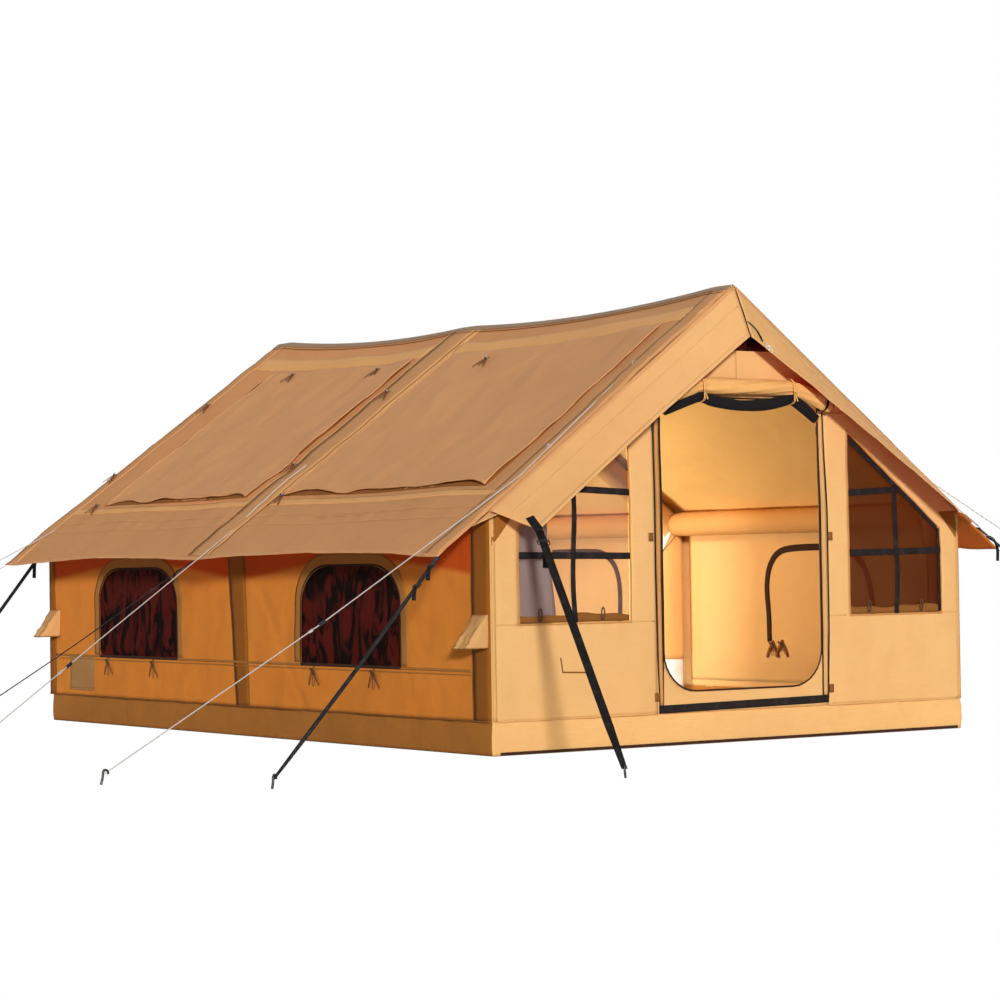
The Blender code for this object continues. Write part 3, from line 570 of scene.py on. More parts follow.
# Tub groundsheet: coated cloth welded into a tray, its skirt turned up outside the walls' feet.
# The skirt bulges and puckers a little where the ground pushes it, and takes the walls' colours.
def canvas(name, colour, dark, through=0.2, weave=0.0024, crumple=1.0, stitched=None):
    """Plain woven canvas: threads, slubs, faded and soiled areas, soft crumples and lit-through cloth."""
    made = shader(name, colour, 0.85, sheen=0.02, translucent=through, gloss=0.12)
    tree = made.node_tree
    place = add(tree, "ShaderNodeTexCoord").outputs["UV"]
    threads_apart = {"Vector": place, "Scale": 0.314 / weave, "Distortion": 0.4}
    warp = add(tree, "ShaderNodeTexWave", threads_apart)
    weft = add(tree, "ShaderNodeTexWave", threads_apart, bands_direction="Y")
    threads = add(
        tree, "ShaderNodeMath", {0: warp.outputs["Fac"], 1: weft.outputs["Fac"]}, operation="MULTIPLY"
    )
    drawn = add(tree, "ShaderNodeMapping", {"Vector": place, "Scale": (4.0, 90.0, 1.0)})
    faded = ramp(tree, speckle(tree, place, 1.4, 5.0, 0.6), 0.35, 0.75, 0.35)
    soiled = ramp(tree, speckle(tree, place, 5.5, 9.0, 0.7), 0.5, 0.78, 0.4)
    slubbed = ramp(tree, speckle(tree, drawn.outputs[0], 2.0, 4.0), 0.42, 0.7, 0.22)
    tone = colour
    for share in (faded, soiled, slubbed):
        tone = tint(tree, tone, dark, share)
    heights = [(threads.outputs[0], 0.35, 0.0005)]
    if stitched:
        parts = add(tree, "ShaderNodeSeparateXYZ", {"Vector": place})
        row = add(tree, "ShaderNodeMath", {0: parts.outputs[1], 1: 0.006, 2: 0.0009}, operation="COMPARE")
        dash = add(tree, "ShaderNodeMath", {0: parts.outputs[0], 1: 0.005}, operation="MODULO")
        shown = add(tree, "ShaderNodeMath", {0: dash.outputs[0], 1: 0.0034}, operation="LESS_THAN")
        stitch = add(tree, "ShaderNodeMath", {0: row.outputs[0], 1: shown.outputs[0]}, operation="MULTIPLY")
        tone = tint(tree, tone, stitched, stitch.outputs[0])
        heights.append((stitch.outputs[0], 0.8, 0.0008))
    colour_in(made, tone)
    creases = add(tree, "ShaderNodeTexVoronoi", {"Vector": place, "Scale": 5.0}, feature="DISTANCE_TO_EDGE")
    crinkle, line = speckle(tree, place, 7.0, 7.0, 0.55), ramp(tree, creases.outputs["Distance"], 0.0, 0.12)
    heights += [(crinkle, 0.55 * crumple, 0.012), (line, 0.12 * crumple, 0.002)]
    bump_in(made, heights)
    return made


sand_front = canvas("sand_canvas_front", (0.88, 0.53, 0.215), (0.76, 0.42, 0.15), 0.14)
sand_side = canvas("sand_canvas_side", (0.84, 0.31, 0.045), (0.70, 0.23, 0.03), 0.2)
# Painted shadow of the eave flap: high up under the flap the cloth's colour goes to a deep red, along a line
# that rises in each bay
side_tree = sand_side.node_tree
eave_spot = add(side_tree, "ShaderNodeSeparateXYZ", {
    "Vector": add(side_tree, "ShaderNodeTexCoord").outputs["Object"]})
eave_along = add(side_tree, "ShaderNodeMath", {0: eave_spot.outputs[1]}, operation="ABSOLUTE")
eave_bay = ramp(side_tree, eave_along.outputs[0], 0.085, 2.45, math.pi)
eave_sag = add(side_tree, "ShaderNodeMath", {0: eave_bay}, operation="SINE")
flap_shadow_edge = add(
    side_tree, "ShaderNodeMath", {0: eave_sag.outputs[0], 1: -0.09, 2: eave_spot.outputs[2]},
    operation="MULTIPLY_ADD",
)
flap_shadow_share = ramp(side_tree, flap_shadow_edge.outputs[0], 0.875, 0.905)
side_tone = side_tree.nodes["Principled BSDF"].inputs["Base Color"].links[0].from_socket
colour_in(sand_side, tint(side_tree, side_tone, (0.60, 0.095, 0.008), flap_shadow_share))
lining = canvas("lining_canvas", (0.90, 0.57, 0.23), (0.80, 0.47, 0.17), 0.1, crumple=0.6)
tub_side = canvas("tub_cloth_side", (0.42, 0.165, 0.030), (0.33, 0.125, 0.02), 0.0, 0.0016, 1.0)
tub_front = canvas("tub_cloth_front", (0.84, 0.49, 0.19), (0.66, 0.36, 0.13), 0.0, 0.0016, 1.3)
tub_floor_film = canvas("tub_floor_film", (0.10, 0.085, 0.07), (0.07, 0.06, 0.05), 0.0, 0.0016, 1.5)
brown_tape = canvas("brown_tape", (0.26, 0.10, 0.022), (0.19, 0.07, 0.015), 0.0, 0.0018, 0.3,
                    stitched=(0.36, 0.16, 0.05))
tan_tape = canvas("tan_tape", (0.80, 0.45, 0.165), (0.66, 0.33, 0.10), 0.1, 0.0018, 0.3,
                  stitched=(0.45, 0.2, 0.08))
dark_tape = canvas("dark_tape", (0.055, 0.022, 0.012), (0.03, 0.014, 0.01), 0.0, 0.0016, 0.3)
half_width, half_length, tub_height = 1.575, 2.5, 0.169


def waves(x, y, z, scale, depth, seed=0.0):
    """Smooth unevenness of about depth either way, its bumps about a third of 1/scale long."""
    return depth * noise.noise(Vector((x * scale + seed, y * scale, z * scale)))


def ridges(x, y, z, scale, depth, seed=0.0):
    """Sharp-topped folds of cloth, from 0 to depth."""
    return depth * (1 - min(1, 3 * abs(noise.noise(Vector((x * scale + seed, y * scale, z * scale))))))


def tub_outline(inset, gap=0.035):
    """Points round the tub with each one's outward direction, from the middle of its back."""
    points = [(Vector((0, half_length - inset)), Vector((0, 1)))]
    for cx, cy, start in ((-1, 1, 90), (-1, -1, 180), (1, -1, 270), (1, 1, 0)):
        corner = 0.008 if cy < 0 else 0.05
        wide, deep = half_width - inset - corner, half_length - inset - corner
        for step in range(6):
            angle = math.radians(start + step * 18)
            out = Vector((math.cos(angle), math.sin(angle)))
            points.append((Vector((cx * wide, cy * deep)) + out * corner, out))
    points.append(points[0])
    even = []
    for (start, out_start), (end, out_end) in zip(points, points[1:]):
        steps = max(1, round((end - start).length / gap))
        for step in range(steps):
            t = step / steps
            even.append((start.lerp(end, t), out_start.lerp(out_end, t).normalized()))
    even.append(even[0])
    return even


skirt_outline = tub_outline(0)


def skirt_point(u, v):
    spot, out = skirt_outline[min(round(u * (len(skirt_outline) - 1)), len(skirt_outline) - 1)]
    z = 0.003 + v * (tub_height + 0.004)
    slack = 0.006 * math.sin(math.pi * min(1, v * 1.05))
    push = slack + waves(spot.x, spot.y, z, 5, 0.005) * v + waves(spot.x, spot.y, z * 2, 14, 0.003)
    push -= ridges(spot.x, spot.y, z * 0.4, 3.4, 0.004) * v
    spot = spot + out * (push + 0.0035)
    return Vector((spot.x, spot.y, z))


around = len(skirt_outline) - 1
skirt = settle(turn_towards(weld(grid("tub_skirt", around, 10, skirt_point, (16.0, tub_height))), (0, 1, 0)),
               0.0012, -1)
dress(skirt, tub_front, stands_for=("groundsheet",))
skirt.data.materials.append(tub_side)
for face in skirt.data.polygons:
    if abs(face.center.x) > half_width - 0.03 and abs(face.center.y) < half_length - 0.005:
        face.material_index = 1


def floor_point(u, v):
    spot, _ = skirt_outline[min(round(u * around), around)]
    rings = (1, 0.985, 0.95, 0.88, 0.78, 0.66, 0.54, 0.42, 0.3, 0.18, 0.08, 0.0)
    share = rings[round(v * (len(rings) - 1))]
    z = 0.0016 + (0.0015 + waves(spot.x * share, spot.y * share, 0, 3, 0.0012)) * (0.1 < share < 0.99)
    return Vector((spot.x * share, spot.y * share, z))


tub_floor = turn_towards(weld(grid("tub_floor", around, 11, floor_point, (16.0, 1.6))), (0, 0, 1))
settle(tub_floor, 0.0008, -1)
dress(tub_floor, tub_floor_film, stands_for=("groundsheet",))


# Air beams: white film bladders blown up inside zipped canvas sleeves. Three arches, bent at the
# knees and the ridge, and four straight beams that hold them apart at the eaves. The sleeves stop
# short of the ground, so the bladders show at the feet and through the middle arch's knee zips.
beam_canvas = canvas("beam_canvas", (0.82, 0.45, 0.15), (0.66, 0.33, 0.10), 0.12, 0.002, 0.8)
bladder_film = shader("bladder_film", (0.80, 0.79, 0.75), 0.3)
bladder_tree = bladder_film.node_tree
puckers = speckle(bladder_tree, add(bladder_tree, "ShaderNodeTexCoord").outputs["UV"], 14.0, 4.0)
colour_in(bladder_film, tint(bladder_tree, (0.80, 0.79, 0.75), (0.62, 0.60, 0.55),
                             ramp(bladder_tree, puckers, 0.45, 0.8)))
bump_in(bladder_film, [(puckers, 0.4, 0.003)])
zip_tape = webbing_material("zip_tape", (0.012, 0.008, 0.007), (0.045, 0.026, 0.02), 0.0015)
leg_x, eave_height, eave_x = 1.4967, 1.2166, 1.585
front_ridge, middle_ridge, rear_ridge = 2.40, 2.37, 2.43
arch_y, rear_lean, sleeve_foot, bladder_foot = 2.4217, 0.1879, 0.34, 0.004
both_sides = ((-1, "left"), (1, "right"))


def rounded(corners, radii, steps=8):
    """An open path through corners with each inner one rounded by its radius."""
    path = [Vector(corners[0])]
    for index, radius in enumerate(radii, 1):
        corner = Vector(corners[index])
        before = (Vector(corners[index - 1]) - corner).normalized()
        after = (Vector(corners[index + 1]) - corner).normalized()
        half = before.angle(after) / 2
        middle = corner + (before + after).normalized() * radius / math.sin(half)
        start = corner + before * radius / math.tan(half) - middle
        sideways = (-before - start.normalized() * start.normalized().dot(-before)).normalized()
        for step in range(steps + 1):
            angle = (math.pi - 2 * half) * step / steps
            path.append(middle + start * math.cos(angle) + sideways * start.length * math.sin(angle))
    path.append(Vector(corners[-1]))
    return path


def arch(foot, ridge_z, base_y, lean, gap=0.04):
    """The centre line of an arch whose legs end at foot, leaning in by lean above its knees."""
    slope = (ridge_z - eave_height) / eave_x
    steep = math.hypot(1, slope)
    knee_z = eave_height + slope * (eave_x - leg_x) - 0.0783 * steep
    peak_z = ridge_z - 0.0783 * steep
    corners = [(-leg_x, 0, foot), (-leg_x, 0, knee_z), (0, 0, peak_z), (leg_x, 0, knee_z), (leg_x, 0, foot)]
    path = [
        Vector((point.x, base_y - lean * max(point.z - 1.209, 0), point.z))
        for point in rounded(corners, (0.16, 0.18, 0.16))
    ]
    dense = []
    for start, end in zip(path, path[1:]):
        steps = max(1, round((end - start).length / gap))
        dense += [start.lerp(end, step / steps) for step in range(steps)]
    return dense + [path[-1]]


def puckered(radius, depth, seed, folds=9):
    """A blown tube's radius: fine puckers along it, deeper where it bends."""
    def at(share, angle):
        bend = sum(math.exp(-((share - knee) / 0.03) ** 2) for knee in (0.215, 0.5, 0.785))
        fold = math.sin(share * 260 + seed) * bend * 0.6 + math.sin(angle * folds + share * 40 + seed) * 0.25
        return radius - depth * (0.5 + 0.5 * fold) - depth * 0.4 * math.sin(share * 97 + angle * 2 + seed)
    return at


for beam_name, ridge_z, base_y, lean in (
    ("front", front_ridge, -arch_y, 0), ("middle", middle_ridge, 0, 0),
    ("rear", rear_ridge, arch_y, rear_lean),
):
    bladder_line = arch(bladder_foot, ridge_z, base_y, lean)
    bladder = tube(f"bladder_{beam_name}", bladder_line, puckered(0.0714, 0.0006, 1), 24)
    dress(bladder, bladder_film, stands_for=(f"air_bladder_{beam_name}",))
    sleeve_line = arch(sleeve_foot, ridge_z, base_y, lean)
    sleeve = tube(f"sleeve_{beam_name}", sleeve_line, puckered(0.0752, 0.0012, 2), 32, caps=False)
    settle(sleeve, 0.0012, -1)
    dress(sleeve, beam_canvas, stands_for=(f"beam_sleeve_{beam_name}",))
    path = arch(0.40, ridge_z, base_y, lean, 0.03)
    for side, side_name in both_sides:
        inner = Vector((-side, 0, 0))
        leg = [point + inner * 0.0762 for point in path if point.x * side > 1.49 and point.z < 1.02]
        leg.sort(key=lambda point: point.z)
        zips = [band("leg_zip", leg, 0.012, 0.002, (0, 1, 0))]
        for turn in (-1, 1):
            arm = [
                Vector((side * leg_x, base_y, 0))
                + Vector((-side * math.cos(a), turn * math.sin(a), 0)) * 0.0768
                + Vector((0, 0, z))
                for a, z in ((0.2, 1.012), (0.55, 1.04), (0.9, 1.07), (1.2, 1.095), (1.45, 1.115))
            ]
            zips.append(band("knee_zip", smooth_path(arm, 0.02), 0.010, 0.002))
        made = joined(f"sleeve_zip_{beam_name}_{side_name}", *zips)
        dress(made, zip_tape)
        if beam_name != "middle":
            continue

        def gap_point(u, v, side=side, base_y=base_y):
            angle = (u - 0.5) * 2.9 * (0.15 + 0.85 * v)
            out = 0.0757 + 0.003 * math.sin(angle * 9 + v * 5) * v
            return Vector((side * leg_x, base_y, 1.015 + v * 0.17)) + Vector(
                (-side * math.cos(angle), math.sin(angle), 0)) * out

        knee_gap = settle(grid("knee_gap", 20, 10, gap_point, (0.2, 0.1)), 0.0006, 0)
        knee_gap.name = f"bladder_knee_{beam_name}_{side_name}"
        dress(knee_gap, bladder_film)

beam_height = 1.18294
for side, side_name in both_sides:
    for end_name, start, end in (("front", -2.3464, -0.0753), ("rear", 0.0753, 2.3372)):
        path = [(side * leg_x, start + (end - start) * step / 60, beam_height) for step in range(61)]

        def beam_swell(share, angle, seed=side + start):
            cuff = 0.0025 * (min(share, 1 - share) < 0.03)
            return 0.0745 - 0.0012 * (0.5 + 0.5 * math.sin(angle * 7 + share * 60 + seed)) - cuff

        made = tube(f"eave_tube_{side_name}_{end_name}", path, beam_swell, 28)
        dress(made, beam_canvas, stands_for=(f"eave_beam_{side_name}_{end_name}",))


# Side walls: one panel of canvas each side, sewn with bands over the arches' legs, a sill seam and
# bordered windows. Dark mesh hangs inside each window, and its cover's toggles sit below the sill.
def inside(point, outline):
    """Whether a flat point lies inside a closed outline."""
    x, y = point
    hit = False
    for (x1, y1), (x2, y2) in zip(outline, outline[1:] + outline[:1]):
        if (y1 > y) != (y2 > y) and x < (x2 - x1) * (y - y1) / (y2 - y1) + x1:
            hit = not hit
    return hit


def nearest(point, outline):
    """The point of a closed outline that is nearest to a flat point."""
    best, spot = None, None
    here = Vector(point)
    for start, end in zip(outline, outline[1:] + outline[:1]):
        start, run = Vector(start), Vector(end) - Vector(start)
        t = max(0, min(1, (here - start).dot(run) / max(run.length_squared, 1e-12)))
        found = start + run * t
        gap = (found - here).length
        if best is None or gap < best:
            best, spot = gap, found
    return best, spot


cut_sizes = {}


def cloth(name, across, up, cell, surface, holes=(), low=None, high=None, thickness=0.0015, lift=0.0):
    """Flat-cut cloth over across and up, both (from, to) in metres, laid where surface(s, t, lift) says.

    low and high give its lower and upper edge at s; holes are outlines cut out of it."""
    low, high = low or (lambda s: up[0]), high or (lambda s: up[1])
    columns = max(1, round(abs(across[1] - across[0]) / cell))
    rows = max(1, round((up[1] - up[0]) / cell))
    deselect()
    bpy.ops.mesh.primitive_grid_add(x_subdivisions=columns, y_subdivisions=rows, size=1)
    made = bpy.context.object
    made.name = made.data.name = name
    shape = bmesh.new()
    shape.from_mesh(made.data)
    for vertex in shape.verts:
        s = across[0] + (across[1] - across[0]) * (vertex.co.x + 0.5)
        vertex.co = (s, low(s) + (high(s) - low(s)) * (vertex.co.y + 0.5), 0)
    for outline in holes:
        gone = [face for face in shape.faces if inside(face.calc_center_median()[:2], outline)]
        rim = {vertex for face in gone for vertex in face.verts}
        bmesh.ops.delete(shape, geom=gone, context="FACES")
        for vertex in rim:
            if vertex.is_valid and vertex.is_boundary:
                vertex.co.xy = nearest(vertex.co.xy, outline)[1]
    layer = shape.loops.layers.uv.verify()
    for face in shape.faces:
        face.smooth = True
        for loop in face.loops:
            loop[layer].uv = loop.vert.co.xy
    heights = [vertex.co.y for vertex in shape.verts]
    area = sum(face.calc_area() for face in shape.faces)
    cut_sizes[name] = (abs(across[1] - across[0]), max(heights) - min(heights), area)
    for vertex in shape.verts:
        vertex.co = surface(vertex.co.x, vertex.co.y, lift)
    shape.normal_update()
    shape.to_mesh(made.data)
    shape.free()
    # The front of the cloth is the side that surface lifts towards
    s, t = (across[0] + across[1]) / 2, (up[0] + up[1]) / 2
    turn_towards(made, surface(s, t, lift + 0.01) - surface(s, t, lift), len(made.data.polygons) // 2)
    return settle(made, thickness, -1)


def sheet(made):
    """Works out the size that cloth was cut to, less its holes and slanted edges."""
    width, length, area = cut_sizes[made.name]
    area = max(area, 0.301 * width * length) if area < 0.995 * width * length else None


def line_with(made, material, inward):
    """Gives the faces on the inner side of a cloth a second material: a lining colour, or painted shade under
    the visors.
    """
    made.data.materials.append(material)
    for face in made.data.polygons:
        if face.normal.dot(Vector(inward)) > 0.4:
            face.material_index = 1


def tape(name, line, width, surface, lift=0.0006, thickness=0.0012, closed=False, crown=0.0008, gap=0.03):
    """A tape or binding sewn along a line on a surface, the line given in the surface's own metres."""
    points = [Vector((*point, 0)) for point in line]
    if closed:
        points.append(points[0])
    path = []
    for start, end in zip(points, points[1:]):
        steps = max(1, round((end - start).length / gap))
        path += [start.lerp(end, step / steps) for step in range(steps)]
    path.append(points[-1])
    last = len(path) - 1
    sides = []
    for index in range(last + 1):
        if closed:
            before, after = path[(index - 1) % last], path[(index + 1) % last]
        else:
            before, after = path[max(index - 1, 0)], path[min(index + 1, last)]
        ahead, behind = after - path[index], path[index] - before
        along = (ahead.normalized() + behind.normalized()).normalized()
        turn = along.dot(ahead.normalized() if ahead.length > 1e-9 else along)
        sides.append(Vector((-along.y, along.x, 0)) / max(turn, 0.6))
    widths = width if callable(width) else (lambda share: width)

    def place(u, v):
        index = min(round(u * last), last)
        spot = path[index] + sides[index] * (v - 0.5) * widths(u)
        return surface(spot.x, spot.y, lift + thickness + crown * (1 - (2 * v - 1) ** 2))

    made = grid(name, last, 4, place, (run_length(path), 1))
    wide = widths(0.5)
    for entry in made.data.uv_layers[0].data:
        entry.uv[1] = min(entry.uv[1], 1 - entry.uv[1]) * wide
    if closed:
        weld(made)
    spot = path[0]
    turn_towards(made, surface(spot.x, spot.y, 0.01) - surface(spot.x, spot.y, 0.0))
    return settle(made, thickness, -1)


def crease(s, t, start, end, width):
    """How near a point is to a crease line, from 0 to 1, falling off over width."""
    a, b, here = Vector(start), Vector(end), Vector((s, t))
    run = b - a
    share = max(0, min(1, (here - a).dot(run) / run.length_squared))
    return math.exp(-(((a + run * share) - here).length / width) ** 2)


def soft(share):
    """A smooth rise from 0 to 1, level at both ends."""
    share = max(0, min(1, share))
    return share * share * (3 - 2 * share)


wall_foot, wall_top, wall_x, wall_y = 0.168, 1.2195, 1.5795, 2.5005
band_foot, band_top = wall_foot + 0.004, 1.205
windows = ((-1.67, -0.66), (0.78, 1.79))
sill, window_top, window_corner = 0.423, 0.955, 0.20


def window_outline(start, end, grow=0.0, steps=10):
    """The outline of a side window, its upper corners rounded."""
    start, end, low, high = start - grow, end + grow, sill - grow, window_top + grow
    corner = window_corner + grow
    points = [(start, low), (end, low)]
    wide = corner * 1.35
    for cx, turn in ((end - wide, 0), (start + wide, 1)):
        for step in range(steps + 1):
            angle = (turn + step / steps) * math.pi / 2
            points.append((cx + wide * math.cos(angle), high - corner + corner * math.sin(angle)))
    return points


def wall_slack(y, z):
    """How far the side wall's canvas stands out from its flat cut."""
    push = waves(y, 0, z, 1.6, 0.006, 3) + waves(y, 0, z * 1.6, 5, 0.004, 8) + waves(y, 0, z, 13, 0.0018, 5)
    push += ridges(y, 0, z * 0.35, 2.6, 0.003, 2) - ridges(y * 0.6, 0, z, 3.3, 0.002, 9)
    push -= 0.006 * crease(y, z, (-0.168, 0.878), (-0.806, 0.016), 0.03)
    push += 0.003 * crease(y, z, (-2.30, 0.66), (-1.75, 0.30), 0.06)
    push += 0.003 * crease(y, z, (2.30, 0.66), (1.85, 0.28), 0.06)
    return push


def wall_surface(side):
    """Where a side wall's cloth lies, over y and height."""
    def at(y, z, lift):
        top = soft((wall_top - z) / 0.12) * soft((2.5 - abs(y)) / 0.06)
        slack = 0.9 * max(-0.005, min(0.009, wall_slack(y, z))) * top
        return Vector((side * (wall_x + slack + lift), y, z))
    return at


dark_mesh = shader("window_mesh", (0.06, 0.010, 0.006), 0.8, alpha=0.965, gloss=0.1)
open_mesh = shader("open_window_mesh", (0.075, 0.052, 0.050), 0.8, alpha=0.66, gloss=0.1)
open_place = add(open_mesh.node_tree, "ShaderNodeTexCoord").outputs["UV"]
open_knit = add(open_mesh.node_tree, "ShaderNodeTexWave", {"Vector": open_place, "Scale": 180.0})
colour_in(open_mesh, tint(open_mesh.node_tree, (0.085, 0.058, 0.055), (0.05, 0.034, 0.032),
                          open_knit.outputs["Fac"]))
bump_in(open_mesh, [(open_knit.outputs["Fac"], 0.5, 0.0006)])
# The closed windows' mesh: a fine knit whose dark red-brown paints the shaded cloth behind it, with painted
# shade in broad folds that run aslant
mesh_tree = dark_mesh.node_tree
mesh_place = add(mesh_tree, "ShaderNodeTexCoord").outputs["UV"]
mesh_ribs = add(mesh_tree, "ShaderNodeTexWave", {"Vector": mesh_place, "Scale": 180.0})
mesh_cross = add(mesh_tree, "ShaderNodeTexWave", {"Vector": mesh_place, "Scale": 180.0}, bands_direction="Y")
mesh_knit = add(mesh_tree, "ShaderNodeMath", {
    0: mesh_ribs.outputs["Fac"], 1: mesh_cross.outputs["Fac"]}, operation="ADD")
mesh_tone = ramp(mesh_tree, mesh_knit.outputs[0], 0.0, 2.0)
mesh_turn = add(mesh_tree, "ShaderNodeMapping", {
    "Vector": mesh_place, "Rotation": (0.0, 0.0, 0.35), "Scale": (1.0, 0.45, 1.0)})
fold_shade_noise = add(mesh_tree, "ShaderNodeTexNoise", {
    "Vector": mesh_turn.outputs[0], "Scale": 9.0, "Detail": 3.0, "Distortion": 1.5})
fold_shade_share = ramp(mesh_tree, fold_shade_noise.outputs[0], 0.44, 0.56)
mesh_base = tint(mesh_tree, (0.115, 0.010, 0.006), (0.065, 0.006, 0.004), mesh_tone)
colour_in(dark_mesh, tint(mesh_tree, mesh_base, (0.006, 0.002, 0.002), fold_shade_share))
bump_in(dark_mesh, [(mesh_knit.outputs[0], 0.6, 0.0006)])


def full_turn(steps):
    """The angles of a closed ring, its first one again at the end."""
    return [2 * math.pi * step / steps for step in range(steps + 1)]


def toggle_and_loop(name, spot, along, out, cord_length=0.06):
    """A tapered toggle on a tab with two ribbon ends, and the cord loop that hooks over it."""
    spot, along, out = Vector(spot), Vector(along).normalized(), Vector(out).normalized()
    side = out.cross(along).normalized()
    lie = (side + along * 0.7).normalized()
    path = [spot + out * 0.011 + lie * (step / 8 - 0.5) * 0.062 for step in range(9)]
    peg_piece = tube(name + "_toggle", path, lambda share, angle: 0.008 - 0.005 * abs(2 * share - 1) ** 2, 10)
    dress(peg_piece, brown_plastic)
    over = [spot + out * 0.002 - along * 0.018, spot + out * 0.011, spot + out * 0.002 + along * 0.026]
    tabs = [band(name + "_tab", over, 0.018, 0.0014, tuple(side))]
    for lean in (-1, 1):
        ribbon = [
            spot + side * lean * 0.011 * step - along * (0.009 * step + 0.0012 * step * step)
            + out * (0.006 + 0.003 * math.sin(step * 0.8)) for step in range(6)
        ]
        across = tuple(side + along * lean)
        tabs.append(band("ribbon", ribbon, lambda share: 0.022 - 0.008 * share, 0.0014, across))
    dress(joined(name + "_tab", *tabs), ribbon_cloth)
    ring = [
        spot - along * (0.012 + cord_length / 2 * (1 - math.cos(a)))
        + side * 0.011 * math.sin(a) + out * (0.004 + 0.003 * math.sin(a * 0.5)) for a in full_turn(14)
    ]
    dress(tube(name + "_loop", ring, 0.0017, 6), loop_cord)


brown_plastic = hard_material("brown_plastic", (0.075, 0.035, 0.018), 0.5)
loop_cord = cord_material("loop_cord", (0.20, 0.10, 0.045), (0.10, 0.05, 0.02))
ribbon_cloth = canvas("ribbon_cloth", (0.34, 0.12, 0.035), (0.20, 0.06, 0.02), 0.05, 0.0016, 0.4)
band_side = canvas("band_canvas_side", (0.31, 0.105, 0.012), (0.25, 0.08, 0.010), 0.05)
border_side = canvas("border_canvas_side", (0.44, 0.185, 0.040), (0.36, 0.15, 0.03), 0.08)
patch_cloth = canvas("patch_canvas", (0.42, 0.215, 0.075), (0.34, 0.17, 0.055), 0.0)

for side, side_name in both_sides:
    surface = wall_surface(side)
    wall = cloth(f"{side_name}_wall_cloth", (-wall_y, wall_y), (wall_foot, wall_top), 0.024, surface,
                 [window_outline(*window) for window in windows])
    dress(wall, sand_side, stands_for=(f"{side_name}_wall",))
    line_with(wall, lining, (-side, 0, 0))
    sheet(wall)
    seams = [
        tape("sill", [(-2.335, 0.419), (2.412, 0.419)], 0.014, surface, crown=0.0014),
        tape("sill_low", [(-2.335, 0.398), (2.412, 0.398)], 0.006, surface, crown=0.001),
    ]
    dress(joined(f"{side_name}_wall_seams", *seams), border_side)
    bands = [
        tape("band", [(low_y, band_foot), (high_y, band_top)], width, surface, 0.0005, crown=0.001)
        for low_y, high_y, width in (
            (-0.005, 0.07, lambda share: 0.15 + 0.05 * share), (-2.418, -2.418, 0.162), (2.457, 2.457, 0.084),
        )
    ]
    piping = [
        tape("piping", [(low_y, band_foot), (high_y, band_top)], 0.007, surface, 0.002)
        for low_y, high_y in ((-0.08, -0.03), (0.07, 0.17), (-2.337, -2.337), (2.414, 2.414))
    ]
    dress(joined(f"{side_name}_wall_bands", *bands), band_side)
    dress(joined(f"{side_name}_wall_piping", *piping), brown_tape)
    foot_line = tape(f"{side_name}_skirt_seam", [(-2.49, 0.170), (2.49, 0.170)], 0.009, surface, 0.006,
                     crown=0.0015)
    dress(foot_line, brown_tape)
    for window, window_name in zip(windows, ("front", "rear")):
        around_it = window_outline(*window, grow=0.034)
        line = [(around_it[1][0], 0.43)] + around_it[2:] + [(around_it[0][0], 0.43)]
        border = tape(f"{side_name}_{window_name}_window_border", line, 0.076, surface, 0.0008)
        dress(border, border_side)
        edge = window_outline(*window, grow=0.002)
        hems = [
            tape("hem", edge[1:] + edge[:1], 0.012, surface, 0.0022),
            tape("foot_hem", edge[:2], 0.016, surface, 0.0022),
        ]
        dress(joined(f"{side_name}_{window_name}_window_hem", *hems), dark_tape)

        def screen_point(y, z, lift, side=side, window=window):
            share = (y - window[0]) / (window[1] - window[0])
            hang = soft((window_top + 0.02 - z) / 0.3)
            fold = 0.010 * (0.5 + 0.5 * math.sin(share * 31 + 1.2 * math.sin(z * 7))) * hang
            fold += 0.005 * (0.5 + 0.5 * math.sin(share * 12 - z * 9)) + waves(y, side, z, 9, 0.003)
            fold *= soft(min(y - window[0], window[1] - y) / 0.06) * (1 if side < 0 else 0.4)
            return Vector((side * (1.5700 - max(0.0, min(0.017, fold)) + lift), y, z))

        low, high = sill - 0.018, window_top + 0.03
        ends = (window[0] - 0.035, window[1] + 0.035)
        screen = cloth(f"{side_name}_{window_name}_screen", ends, (low, high), 0.018, screen_point,
                       thickness=0.0006)
        dress(screen, dark_mesh if side < 0 else open_mesh,
              stands_for=(f"window_screen_{side_name}_{window_name}",))
        sheet(screen)
    for number, y in enumerate((1.668, 1.078, -0.799, -1.404)):
        spot = surface(y, 0.385, 0.001)
        toggle_and_loop(f"{side_name}_wall_{number}", spot, (0, 0, 1), (side, 0, 0), 0.07)

# A patch of thicker canvas low down at the back of the left wall
surface = wall_surface(-1)
patch = cloth("repair_patch", (1.879, 2.214), (0.209, 0.406), 0.02, surface, lift=0.0022, thickness=0.0012)
dress(patch, patch_cloth)
patch_edge = tape("patch_edge", [(1.879, 0.209), (2.214, 0.209), (2.214, 0.406), (1.879, 0.406)], 0.012,
                  surface, 0.0026, closed=True)
dress(patch_edge, patch_cloth)


